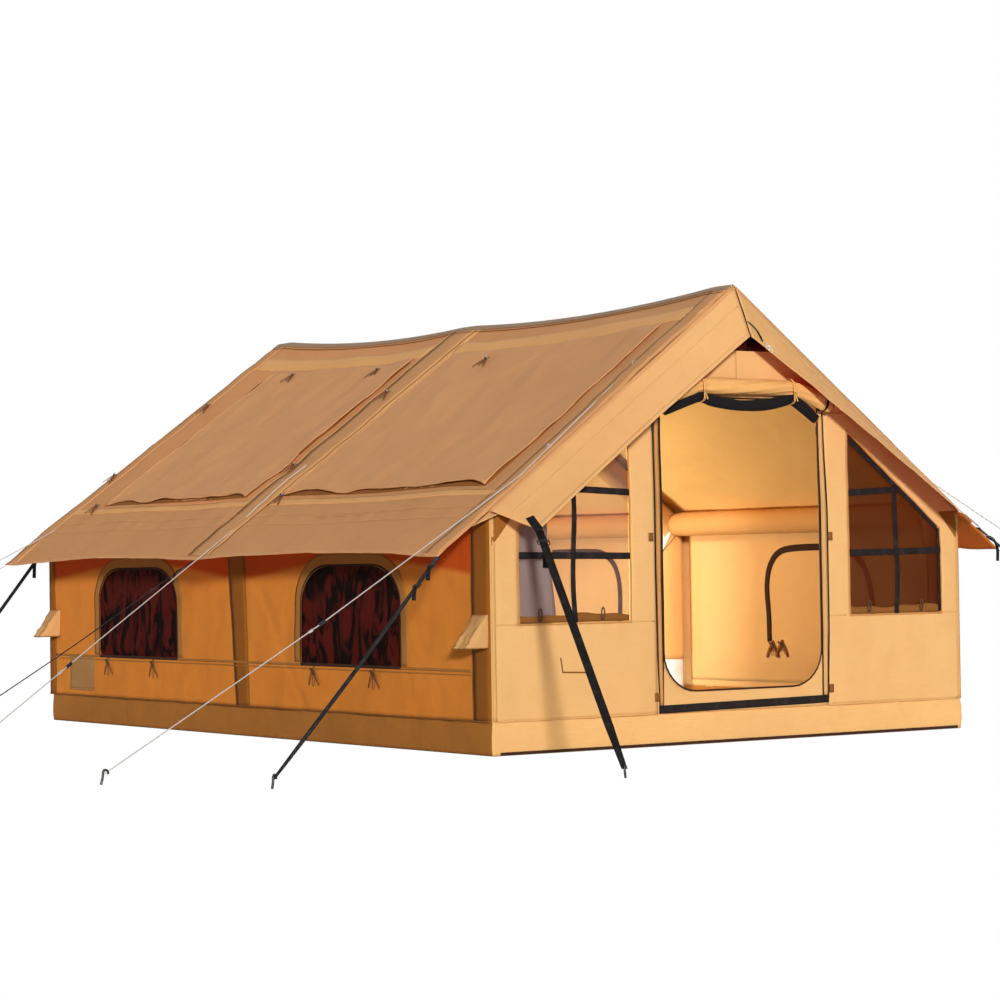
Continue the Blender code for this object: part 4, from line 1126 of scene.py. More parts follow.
# Vent hoods: small scoops of stiffened canvas over the left wall's two vents, open below, their
# free edge bound round a cord.
hood_cloth = canvas("hood_canvas", (0.72, 0.40, 0.155), (0.60, 0.31, 0.11), 0.14, crumple=1.6)
hood_wide, hood_top, hood_deep, hood_reach = 0.13, 0.700, 0.165, 0.125
for start, hood_name in ((-2.48, "front"), (2.35, "rear")):
    def hood_point(u, v, start=start):
        reach = 0.012 + hood_reach * v
        z = hood_top - hood_deep * v
        if u < 0.3:
            out, y = reach * (u / 0.3), start
        elif u > 0.7:
            out, y = reach * ((1 - u) / 0.3), start + hood_wide
        else:
            out, y = reach, start + hood_wide * (u - 0.3) / 0.4
        round_off = 0.012 * math.exp(-((u - 0.3) / 0.06) ** 2) - 0.012 * math.exp(-((u - 0.7) / 0.06) ** 2)
        sag = 0.006 * math.sin(math.pi * (u - 0.3) / 0.4) * v if 0.3 < u < 0.7 else 0
        push = (waves(u * 2, start, v * 2, 4, 0.016) + ridges(u * 2, start, v, 3, 0.010)) * min(1, out * 8)
        return Vector((-1.5775 - out + sag * 0.5 + push, y + round_off * min(1, v * 3), z - 0.3 * sag))

    hood = settle(grid(f"hood_{hood_name}", 30, 12, hood_point, (0.5, 0.24)), 0.0018, 0)
    dress(hood, hood_cloth, stands_for=(f"vent_hood_{hood_name}",))
    lip_path = [hood_point(step / 30, 1.0) for step in range(31)]
    lip = tube(f"hood_lip_{hood_name}", lip_path, 0.0025, 8)
    dress(lip, brown_tape)
    vent = cloth(f"hood_mesh_{hood_name}", (start + 0.02, start + 0.11), (0.56, 0.675), 0.02, surface,
                 lift=0.0012, thickness=0.0006)
    dress(vent, dark_mesh)


# Front wall: a panel to each side with a slanted window, and between them the door's panel with the
# gable above it, all of canvas sewn edge to edge. The doorway is cut out, bound, and zipped down
# both sides, and the panels bow out a little between the arch and the tub.
door_left, door_right, door_low, door_top, door_corner = -0.508, 0.552, 0.283, 1.80, 0.20
seam_left, seam_right = -0.553, 0.604
front_slope, front_half = 0.74663, 1.5805


def gable_top(x):
    """The front wall's upper edge, just under the roof."""
    return front_ridge - abs(x) * front_slope - 0.008


def front_slack(x, z):
    """How far the front wall's canvas stands out from its flat cut."""
    push = waves(x, 30, z, 1.8, 0.006, 4) + waves(x, 30, z, 6, 0.004, 1) + waves(x, 30, z, 15, 0.0018, 7)
    push += ridges(x, 30, z * 0.4, 3.1, 0.003, 6)
    calm = min(1, abs(x - seam_left) / 0.12, abs(x - seam_right) / 0.12) * soft((gable_top(x) - z) / 0.15)
    calm *= soft((front_half - abs(x)) / 0.05)
    return max(0, push + 0.004) * calm + 0.008 * soft((1.575 - abs(x)) / 1.0) * soft((1.62 - z) / 0.4)


def front_surface(x, z, lift):
    return Vector((x, -wall_y - front_slack(x, z) - lift, z))


def door_outline(grow=0.0, steps=8):
    """The doorway, its two lower corners rounded."""
    left, right, low, high = door_left - grow, door_right + grow, door_low - grow, door_top + grow
    corner = door_corner + grow
    points = [(right, high), (left, high)]
    for cx, turn in ((left + corner, 2), (right - corner, 3)):
        for step in range(steps + 1):
            angle = (turn + step / steps) * math.pi / 2
            points.append((cx + corner * math.cos(angle), low + corner + corner * math.sin(angle)))
    return points


pane_ends = {-1: (0.722, 1.410), 1: (0.764, 1.434)}


def window_high(x):
    """The slanted top edge of the front windows."""
    return 1.1303 + (1.41 - abs(x)) / (1.41 - 0.741) * (1.6597 - 1.1303)


def front_window_outline(side, grow=0.0):
    inner, outer, low = side * (pane_ends[side][0] - grow), side * (pane_ends[side][1] + grow), 0.648 - grow
    drop = grow * math.hypot(1, 0.79)
    inner_top = window_high(abs(inner) + grow) + drop + grow * 0.79
    outer_top = window_high(abs(outer) - grow) + drop - grow * 0.79
    return [(inner, low), (outer, low), (outer, outer_top), (inner, inner_top)]


front_panels = (("left", -1, (-front_half, seam_left)), ("right", 1, (seam_right, front_half)))
for side_name, side, across in front_panels:
    panel = cloth(f"front_{side_name}_cloth", across, (wall_foot, 1.9), 0.024, front_surface,
                  [front_window_outline(side)], high=gable_top)
    dress(panel, sand_front, stands_for=(f"front_wall_{side_name}",))
    sheet(panel)
centre = cloth("front_centre_cloth", (seam_left, seam_right), (wall_foot, 2.1), 0.024, front_surface,
               [door_outline()], high=gable_top)
dress(centre, sand_front, stands_for=("front_wall_centre",))
sheet(centre)

corner_bands = [
    tape("corner", [(side * 1.565, wall_foot + 0.005), (side * 1.565, gable_top(1.57) - 0.01)], 0.026,
         front_surface, 0.001) for side in (-1, 1)
]
dress(joined("front_corner_bands", *corner_bands), tan_tape)
# Painted shade: a dark brown sheet in each upper corner of the front wall, for the shade under the visor
corner_shade_cloth = canvas("corner_shade_cloth", (0.36, 0.13, 0.02), (0.28, 0.10, 0.015), 0.1)
for side, side_name in both_sides:
    gusset = cloth(f"front_corner_gusset_{side_name}", sorted((side * 1.572, side * 1.435)), (1.035, 1.206),
                   0.012, front_surface, lift=0.0028, thickness=0.0012,
                   low=lambda x: min(1.2, 1.04 + (1.572 - abs(x)) * 1.15), high=lambda x: 1.206)
    dress(gusset, corner_shade_cloth)
    sheet(gusset)
seams = [
    tape("seam", line, width, front_surface) for line, width in (
        ([(-1.56, 0.648), (-1.42, 0.648)], 0.007), ([(-0.735, 0.648), (-0.565, 0.645)], 0.007),
        ([(0.615, 0.648), (0.735, 0.648)], 0.007), ([(1.42, 0.648), (1.56, 0.648)], 0.007),
        ([(-0.86, 1.735), (-0.565, 1.735)], 0.008), ([(-0.80, 1.775), (-0.565, 1.775)], 0.006),
        ([(0.615, 1.735), (0.86, 1.735)], 0.008), ([(0.615, 1.775), (0.80, 1.775)], 0.006),
        ([(-0.55, 1.84), (0.60, 1.84)], 0.006), ([(0, 1.82), (0, 2.05)], 0.012),
    )
]
dress(joined("front_seams", *seams), tan_tape)

piping_cloth = canvas("piping_canvas", (0.62, 0.29, 0.09), (0.42, 0.17, 0.045), 0.05, 0.0018, 2.0)

# The doorway: bound edge, outer zips down both sides and the strip that covers the threshold
binding = tape("door_binding", door_outline(0.004), 0.010, front_surface, 0.0010, closed=True)
dress(binding, dark_tape)
zips = []
for line in (
    [(-0.540, 0.190), (-0.549, 0.45), (-0.556, 0.90), (-0.554, 1.72)],
    [(-0.522, 0.190), (-0.518, 0.45), (-0.517, 0.90), (-0.515, 1.72)],
    [(0.562, 0.205), (0.564, 0.60), (0.563, 1.20), (0.558, 1.72)],
    [(0.600, 0.205), (0.612, 0.60), (0.612, 1.20), (0.594, 1.74)],
):
    zips += [
        tape("tape", line, 0.010, front_surface, 0.0016),
        tape("coil", line, 0.005, front_surface, 0.0030, crown=0.0012),
    ]
zips.append(tape("threshold", [(-0.548, 0.190), (0.602, 0.204)], 0.042, front_surface, 0.0024))
dress(joined("door_zips", *zips), zip_tape)
piping = tape("door_zip_flap_left", [(-0.531, 0.215), (-0.534, 0.45), (-0.5365, 0.9), (-0.535, 1.72)], 0.026,
              front_surface, 0.0012, crown=0.006)
dress(piping, piping_cloth)
guard = tape("door_zip_flap_right", [(0.581, 0.225), (0.588, 0.60), (0.588, 1.20), (0.577, 1.72)], 0.032,
             front_surface, 0.0012, crown=0.003)
dress(guard, tan_tape)
tabs = [
    tape("tab", [(x, z - 0.022), (x, z + 0.022)], 0.030, front_surface, 0.006)
    for x, z in ((-0.586, 1.078), (0.627, 1.075), (-0.560, 0.254), (0.620, 0.258))
]
dress(joined("door_tabs", *tabs), brown_tape)
foot_lines = [
    tape("foot", [(-1.55, 0.171), (-0.555, 0.171)], 0.010, front_surface, 0.003),
    tape("foot_right", [(0.606, 0.171), (1.55, 0.171)], 0.010, front_surface, 0.003),
]
dress(joined("front_skirt_seam", *foot_lines), tan_tape)


def skirt_front(x, z, lift):
    """The tub's front skirt, for the line along its foot."""
    return Vector((x, -2.5105 - lift - waves(x, 40, z, 6, 0.002), z))


ground_line = tape("front_ground_line", [(-1.54, 0.012), (1.54, 0.012)], 0.014, skirt_front, 0.001)
dress(ground_line, dark_tape)

# Cable port: an L of zip low on the left panel
port = tape("cable_port_zip", [(-1.166, 0.476), (-1.156, 0.403), (-1.08, 0.400), (-1.003, 0.397)],
            0.008, front_surface, 0.001)
dress(port, brown_tape)
for slider in ("door_zip_slider_left", "door_zip_slider_right", "cable_port_slider"):
    nodes[slider].data.materials.clear()
    nodes[slider].data.materials.append(black_plastic)

# Front windows: clear smoked film behind black muntin straps, bound round with dark tape
window_film = shader("window_film", (0.16, 0.11, 0.10), 0.15, alpha=0.30, gloss=0.4)
film_tree = window_film.node_tree
film_wave = speckle(film_tree, add(film_tree, "ShaderNodeTexCoord").outputs["UV"], 4.0, 2.0)
film_haze = ramp(film_tree, film_wave, 0.4, 0.7)
colour_in(window_film, tint(film_tree, (0.16, 0.105, 0.095), (0.22, 0.155, 0.145), film_haze))
bump_in(window_film, [(film_wave, 0.35, 0.02)])
# Painted shade: the right window's film is a darker, redder copy of the left one's
painted_shade_film = shader("painted_shade_window_film", (0.080, 0.014, 0.002), 0.3, alpha=0.72, gloss=0.12)
shaded_tree = painted_shade_film.node_tree
shaded_wave = speckle(shaded_tree, add(shaded_tree, "ShaderNodeTexCoord").outputs["UV"], 3.0, 2.0)
colour_in(painted_shade_film, tint(shaded_tree, (0.075, 0.012, 0.002), (0.105, 0.020, 0.003), shaded_wave))
bump_in(painted_shade_film, [(shaded_wave, 0.35, 0.02)])
muntin_webbing = webbing_material("muntin_webbing", (0.010, 0.007, 0.008), (0.05, 0.030, 0.032))
brown_cord = cord_material("brown_cord", (0.16, 0.07, 0.03), (0.07, 0.03, 0.015))


def pane_surface(x, z, lift):
    """The front windows' film, just behind the wall's canvas."""
    return Vector((x, -2.4975 - front_slack(x, z) * 0.7 - lift, z))


for side_name, side, _ in front_panels:
    inner, outer = pane_ends[side]
    ends = sorted((side * (inner + 0.004), side * (outer - 0.004)))
    pane = cloth(f"front_window_{side_name}_film", ends, (0.652, 1.4), 0.02, pane_surface,
                 high=lambda x: window_high(x) - 0.005, thickness=0.0006)
    dress(pane, window_film if side < 0 else painted_shade_film,
          stands_for=(f"front_window_{side_name}",))
    sheet(pane)
    muntins = [
        tape("top_bar", [(side * inner, 1.308), (side * 1.145, 1.328)], 0.034, front_surface, 0.0012),
        *([tape("slant_edge", [(inner + 0.01, window_high(inner) - 0.045), (outer - 0.02, 1.117)], 0.026,
                front_surface, 0.0012),
           tape("outer_edge", [(outer - 0.012, 0.66), (outer - 0.012, 1.115)], 0.020, front_surface, 0.0012)]
          if side > 0 else []),
        tape("low_bar", [(side * inner, 0.983), (side * outer, 0.992)], 0.034, front_surface, 0.0012),
        tape("post", [(side * (1.075 + 0.006 * math.sin(z * 9)) + (0.028 if side > 0 else 0), z) for z in (
            0.65 + 0.70 * step / 12 for step in range(13))], 0.030, front_surface, 0.0024),
    ]
    dress(joined(f"front_window_muntins_{side_name}", *muntins), muntin_webbing)
    edge = tape(f"front_window_binding_{side_name}", front_window_outline(side, 0.002), 0.010,
                front_surface, 0.0008, closed=True)
    dress(edge, piping_cloth)
    gutter = cloth(f"front_window_gutter_{side_name}", ends, (0.652, 0.692), 0.02, pane_surface,
                   lift=0.0015, thickness=0.0008,
                   high=lambda x: 0.692 + 0.006 * math.sin(x * 11) + 0.004 * math.sin(x * 29))
    dress(gutter, brown_tape)
    for number, x in enumerate((0.90, 1.285)):
        spot = front_surface(side * x, 0.690, 0.001)
        ring = [
            spot + Vector((
                0.010 * math.sin(a), -0.003 - 0.002 * math.sin(a / 2), 0.032 * (1 - math.cos(a)) - 0.03))
            for a in full_turn(14)
        ]
        dress(tube(f"front_window_loop_{side_name}_{number}", ring, 0.0036, 6), brown_cord)


# A pale curtain drawn to the outer side of the left window, close behind the film
def curtain_place(x, z, lift):
    share = (x + 1.50) / 0.30
    pull = x + 0.05 * share * soft((1.12 - z) / 0.5)
    folds = 0.008 * math.sin(share * 17 + math.sin(z * 5))
    return Vector((pull, -2.462 - folds - lift - waves(x, 80, z, 5, 0.004), z))


curtain_cloth = canvas("curtain_cloth", (0.80, 0.66, 0.64), (0.66, 0.52, 0.52), 0.3, 0.0018, 0.8)
curtain = cloth("front_window_curtain", (-1.50, -1.20), (0.66, 1.15), 0.02, curtain_place, thickness=0.0008)
dress(curtain, curtain_cloth)
sheet(curtain)

# Inner covers: canvas flaps zipped over the right-hand windows inside, with their curved dark zips
for cover_end, start, end, last, zip_line in (
    ("front", -2.25, -0.10, -0.10, [
        (-0.885, 0.46), (-0.880, 0.62), (-0.868, 0.80), (-0.90, 0.92), (-0.98, 0.995), (-1.12, 1.02),
        (-1.44, 1.022), (-1.60, 1.00), (-1.71, 0.94), (-1.78, 0.83), (-1.81, 0.68), (-1.81, 0.50),
    ]),
    ("rear", 0.48, 1.38, 2.2, [
        (0.62, 0.46), (0.61, 0.74), (0.635, 0.88), (0.70, 0.965), (0.80, 1.01), (0.95, 1.022), (1.36, 1.022),
    ]),
):
    def inner_wall(y, z, lift, start=start, last=last):
        edge = soft(min(y - start, last - y, z - 0.215, 1.13 - z) / 0.14)
        slack = (0.001 * math.sin(y * 21) + waves(y, 50, z, 6, 0.0015)) * edge
        return Vector((1.5725 - 0.0145 * edge - lift - slack, y, z))

    inner_cover = cloth(f"inner_window_cover_{cover_end}", (start, end), (0.215, 1.13), 0.024, inner_wall,
                        thickness=0.0012)
    dress(inner_cover, lining)
    inner_edge = tape(f"inner_cover_zip_{cover_end}", [point[:2] for point in smooth_path(
        [(*point, 0) for point in zip_line], 0.03)], 0.040, inner_wall, 0.002)
    dress(inner_edge, dark_tape)
    sheet(inner_cover)
    if cover_end == "front":
        toggle_and_loop("inner_cover_front_low", inner_wall(-1.0, 0.445, 0.003), (0, 0, 1), (-1, 0, 0), 0.03)
    zip_foot = inner_wall(zip_line[0][0] - 0.03, 0.44, 0.003)
    toggle_and_loop(f"inner_cover_{cover_end}", zip_foot, (0, 0, 1), (-1, 0, 0), 0.05)


# Rear wall: one panel of canvas, upright to the eaves and leaning in with the rear arch above them,
# with a seam at the knee, one down the middle and one along its foot.
rear_slope = (rear_ridge - eave_height) / eave_x


def rear_top(x):
    """The rear wall's upper edge, just under the roof."""
    return rear_ridge - abs(x) * rear_slope - 0.008


def rear_surface(x, z, lift):
    push = waves(x, 60, z, 1.7, 0.007, 2) + waves(x, 60, z, 6, 0.004, 5) + waves(x, 60, z, 14, 0.0018, 5)
    push = max(0, push + 0.004) * soft((rear_top(x) - z) / 0.15) * soft((1.575 - abs(x)) / 0.2)
    return Vector((x, wall_y + push + lift - rear_lean * max(z - eave_height, 0), z))


rear = cloth("rear_wall_cloth", (-1.5717, 1.5717), (wall_foot, 2.0), 0.026, rear_surface, high=rear_top)
dress(rear, sand_front, stands_for=("rear_wall",))
sheet(rear)
rear_seams = [
    tape("knee", [(-1.55, eave_height), (1.55, eave_height)], 0.014, rear_surface),
    tape("middle", [(0, 0.19), (0, 2.38)], 0.014, rear_surface),
    tape("foot", [(-1.55, 0.171), (1.55, 0.171)], 0.010, rear_surface, 0.003),
]
dress(joined("rear_wall_seams", *rear_seams), tan_tape)


# Roof: a slope of canvas each side over the arches, its lower edge hanging past the eaves as a
# flap. Bands are sewn over the arches and strips round the roof windows, and a cover lies over
# each window, sewn on along its top and held by toggles, each cover on a body of its own.
roof_cloth = canvas("roof_canvas", (0.80, 0.405, 0.168), (0.69, 0.33, 0.13), 0.16)
roof_strip = canvas("roof_strip_canvas", (0.98, 0.53, 0.20), (0.86, 0.42, 0.15), 0.14)
roof_band = canvas("roof_band_canvas", (0.34, 0.125, 0.028), (0.24, 0.085, 0.02), 0.06)
roof_lining = canvas("roof_lining_canvas", (0.98, 0.64, 0.22), (0.92, 0.54, 0.17), 0.12, crumple=0.6)
flap_lining = canvas("flap_lining_canvas", (0.90, 0.28, 0.040), (0.80, 0.22, 0.03), 0.3)
cover_cloth = canvas("cover_canvas", (0.83, 0.415, 0.178), (0.74, 0.35, 0.143), 0.1, crumple=1.2)
slope_run, bay_length, bay_sag, middle_half = 1.985, 2.245, 0.04, 0.085
bends = ((-2.5, -2.5), (-middle_half, -middle_half), (middle_half, middle_half), (2.33, 2.102), (2.5, 2.272))


def ridge_at(u):
    """The ridge's y and height over the eave's y, u, and how far that bay sags there."""
    for (u1, y1), (u2, y2) in zip(bends, bends[1:]):
        if u <= u2 or u2 == 2.5:
            y = y1 + (y2 - y1) * (u - u1) / (u2 - u1)
            break
    if -middle_half <= u < middle_half:
        return y, middle_ridge, 0
    if u < 0:
        share = max(0, (u + 2.33) / bay_length)
        height = front_ridge - 0.03 * share
    else:
        share = min(1, (u - middle_half) / bay_length)
        height = middle_ridge + 0.06 * share
    dip = 4 * share * (1 - share)
    return y, height - bay_sag * dip, dip


def roof_slack(side, u, t):
    """How far the roof's canvas stands up from its flat cut."""
    push = waves(u, side * 9, t, 1.5, 0.010, 2) + waves(u * 0.6, side * 9, t, 4, 0.006, 6)
    push += waves(u, side * 9, t, 12, 0.0022, 3) + ridges(u * 0.5, side * 9, t * 1.6, 2.4, 0.004, 4)
    knee = math.exp(-((t - 0.02) / 0.07) ** 2)
    push += 0.003 * knee * math.sin(u * 26 + 2 * math.sin(u * 5))
    return max(-0.004, push) * soft((slope_run - t) / 0.15)


def roof_surface(side):
    """Where a slope's cloth lies, over u along the eave and t up from it."""
    def at(u, t, lift):
        ridge_y, ridge_z, _ = ridge_at(u)
        share = t / slope_run
        rise = ridge_z - eave_height
        out = Vector((side * rise, 0, eave_x)).normalized()
        spot = Vector((
            side * eave_x * (1 - share), u + (ridge_y - u) * max(share, 0), eave_height + rise * share,
        ))
        return spot + out * (0.0018 + lift + roof_slack(side, u, t))
    return at


def flap_edge(u):
    """Where the flap's lower edge is, in metres down from the eave."""
    _, ridge_z, dip = ridge_at(u)
    return -(0.375 - 0.04 * dip) * slope_run / math.hypot(eave_x, ridge_z - eave_height)


ridge_t = slope_run * 0.9975
for side, side_name in both_sides:
    surface = roof_surface(side)
    slope = cloth(f"roof_{side_name}_cloth", (-2.5, 2.5), (-0.375, ridge_t), 0.027, surface,
                  low=flap_edge, high=lambda u: ridge_t)
    dress(slope, roof_cloth, stands_for=(f"roof_{side_name}",))
    line_with(slope, roof_lining, (-side * 0.6, 0, -0.8))
    slope.data.materials.append(flap_lining)
    for face in slope.data.polygons:
        if face.material_index == 1 and abs(face.center.x) > 1.60:
            face.material_index = 2
    sheet(slope)
    bottom = [(u, flap_edge(u) + 0.014) for u in (-2.5 + 5 * step / 80 for step in range(81))]
    hems = [
        tape("flap_hem", bottom, 0.028, surface, 0.0006),
        tape("flap_seam", [(-2.49, -0.055), (2.49, -0.055)], 0.007, surface, crown=0.0014),
        tape("knee_seam", [(-2.49, 0.035), (2.49, 0.035)], 0.008, surface, crown=0.0014),
    ]
    dress(joined(f"roof_hems_{side_name}", *hems), cover_cloth)
    low_t, high_t = 0.11 * slope_run, 0.84 * slope_run
    strips = [
        tape("top_front", [(-2.47, high_t + 0.075), (-0.16, high_t + 0.075)], 0.13, surface, 0.0004),
        tape("top_rear", [(0.16, high_t + 0.075), (2.47, high_t + 0.075)], 0.13, surface, 0.0004),
        tape("mid_a", [(-0.155, low_t - 0.05), (-0.155, ridge_t - 0.03)], 0.05, surface, 0.0005),
        tape("mid_b", [(0.13, low_t - 0.05), (0.13, ridge_t - 0.03)], 0.05, surface, 0.0005),
        tape("low", [(-2.47, low_t - 0.055), (2.47, low_t - 0.055)], 0.055, surface, 0.0003),
    ]
    dress(joined(f"roof_strips_{side_name}", *strips), roof_strip)
    bands = [
        tape("mid", [(-0.012, -0.34), (-0.012, ridge_t - 0.02)], 0.245, surface, 0.0008),
        tape("front", [(-2.42, -0.35), (-2.42, ridge_t - 0.02)], 0.13, surface, 0.0008),
        tape("rear", [(2.43, -0.35), (2.43, ridge_t - 0.02)], 0.12, surface, 0.0008),
    ]
    dress(joined(f"roof_bands_{side_name}", *bands), roof_cloth)
    edges = [
        tape("mid_edge_a", [(-0.134, -0.34), (-0.134, ridge_t - 0.02)], 0.009, surface, 0.002),
        tape("mid_edge_b", [(0.110, -0.34), (0.110, ridge_t - 0.02)], 0.009, surface, 0.002),
        tape("ridge_seam", [(-2.48, ridge_t - 0.062), (2.48, ridge_t - 0.062)], 0.008, surface, 0.002),
    ]
    dress(joined(f"roof_band_edges_{side_name}", *edges), brown_tape)
    for end_name, start, end in (("front", -2.24, -0.20), ("rear", 0.20, 2.06)):
        # The roof window under the cover: smoked film in a dark bound edge
        light = cloth(f"roof_window_{side_name}_{end_name}", (start + 0.02, end + 0.012),
                      (low_t + 0.004, high_t - 0.03), 0.06, surface, lift=0.0010, thickness=0.0005)
        dress(light, roof_band)

        def cover_low(u, start=start, end=end):
            share = (u - start) / (end - start)
            scallop = 0.035 * abs(math.sin(math.pi * share * 3)) + 0.012 * math.sin(share * 23)
            return low_t + scallop

        def cover_place(u, t, lift, start=start, end=end, side=side):
            share_t = (t - low_t) / (high_t - low_t)
            pull = 0.010 * math.sin(t * 9 + start) + 0.018 * abs(math.sin(t * 5.2)) * (1 - share_t * 0.3)
            near_front = max(0, 1 - (u - start) / 0.25)
            near_rear = max(0, 1 - (end - u) / 0.25)
            shifted = u + pull * near_front - pull * near_rear
            loose = max(near_front, near_rear, 1 - share_t / 0.12) * soft(1 - share_t)
            curl = 0.004 * max(0, loose) ** 2 * (1 + 0.6 * math.sin(u * 13 + t * 17))
            billow = 0.004 * soft(min(near_front + 0.6, 1)) + waves(u, side * 20, t, 5, 0.006, start)
            billow += waves(u, side * 20, t, 13, 0.0025, start) + ridges(u, side, t * 0.6, 2.2, 0.005, 3)
            fold = ridges(u * 0.25 + t * 0.5, side * 3, t * 0.3, 2.0, 0.006, start)
            return roof_surface(side)(shifted, t, 0.003 + max(0, billow) + fold + curl + lift)

        cover = cloth(f"cover_{side_name}_{end_name}_cloth", (start, end), (low_t, high_t), 0.024,
                      cover_place, low=cover_low, thickness=0.0015)
        body = f"cover_{side_name}_{end_name}"
        dress(cover, cover_cloth, body=body,
              stands_for=(f"roof_cover_{side_name}_{end_name}",))
        lower = [(u, cover_low(u) + 0.012) for u in (start + (end - start) * s / 40 for s in range(41))]
        hems = [
            tape("hem_low", lower, 0.022, cover_place, 0.0004),
            *(tape("hem", [(u, low_t + 0.01), (u, high_t)], 0.022, cover_place, 0.0004)
              for u in (start + 0.012, end - 0.012)),
        ]
        hem = dress(joined(f"cover_hem_{side_name}_{end_name}", *hems), cover_cloth, body=body)
        sheet(cover)

for number, (u, share) in enumerate((
    (1.688, 0.809), (0.565, 0.801), (-0.686, 0.789), (0.001, 0.638), (0.098, 0.267), (2.128, 0.102),
    (-0.221, 0.102), (2.346, 0.642), (2.437, 0.268),
)):
    for side, side_name in both_sides:
        surface = roof_surface(side)
        spot = surface(u, share * slope_run, 0.012)
        up_slope = surface(u, share * slope_run + 0.05, 0.012) - spot
        out = surface(u, share * slope_run, 0.05) - spot
        toggle_and_loop(f"roof_{side_name}_{number}", spot, up_slope, out, 0.05)


def ridge_place(u, v):
    """The band over the ridge, lying on both slopes."""
    across = (v - 0.5) * 0.09
    y = -2.495 + u * 4.99
    side = 1 if across > 0 else -1
    spot = roof_surface(side)(y, slope_run - abs(across), 0.0035)
    if abs(across) < 0.006:
        spot.x, spot.z = across * 0.8, spot.z + 0.001
    return spot


ridge_tape = settle(grid("ridge_band", 190, 10, ridge_place, (5.0, 0.09)), 0.0012, -1)
if sum(face.normal.z for face in ridge_tape.data.polygons) < 0:
    ridge_tape.data.flip_normals()
ridge_canvas = canvas("ridge_canvas", (0.40, 0.27, 0.17), (0.3, 0.19, 0.12), 0.0)
dress(ridge_tape, ridge_canvas)

# The middle rope's lead, lying on the roof's band from its loop down to the flap
for side, side_name in both_sides:
    surface = roof_surface(side)
    lead = [surface(-0.055 + 0.02 * math.sin(t * 3), t, 0.006) for t in (
        0.02 + 0.52 * step / 24 for step in range(25))]
    dress(tube(f"rope_lead_{side_name}", lead, 0.003, 8), grey_cord)
    loops = []
    for x, y, z in ((0.571, -2.374, 1.9784), (1.166, -2.432, 1.5342)):
        spot = Vector((side * x, y, z))
        ring = [
            spot + Vector((side * 0.010 * math.sin(a), 0.004 * math.cos(2 * a), 0.016 * math.cos(a) + 0.002))
            for a in full_turn(14)
        ]
        loops.append(tube("rope_keeper", ring, 0.0022, 6))
    dress(joined(f"rope_keepers_{side_name}", *loops), grey_cord)


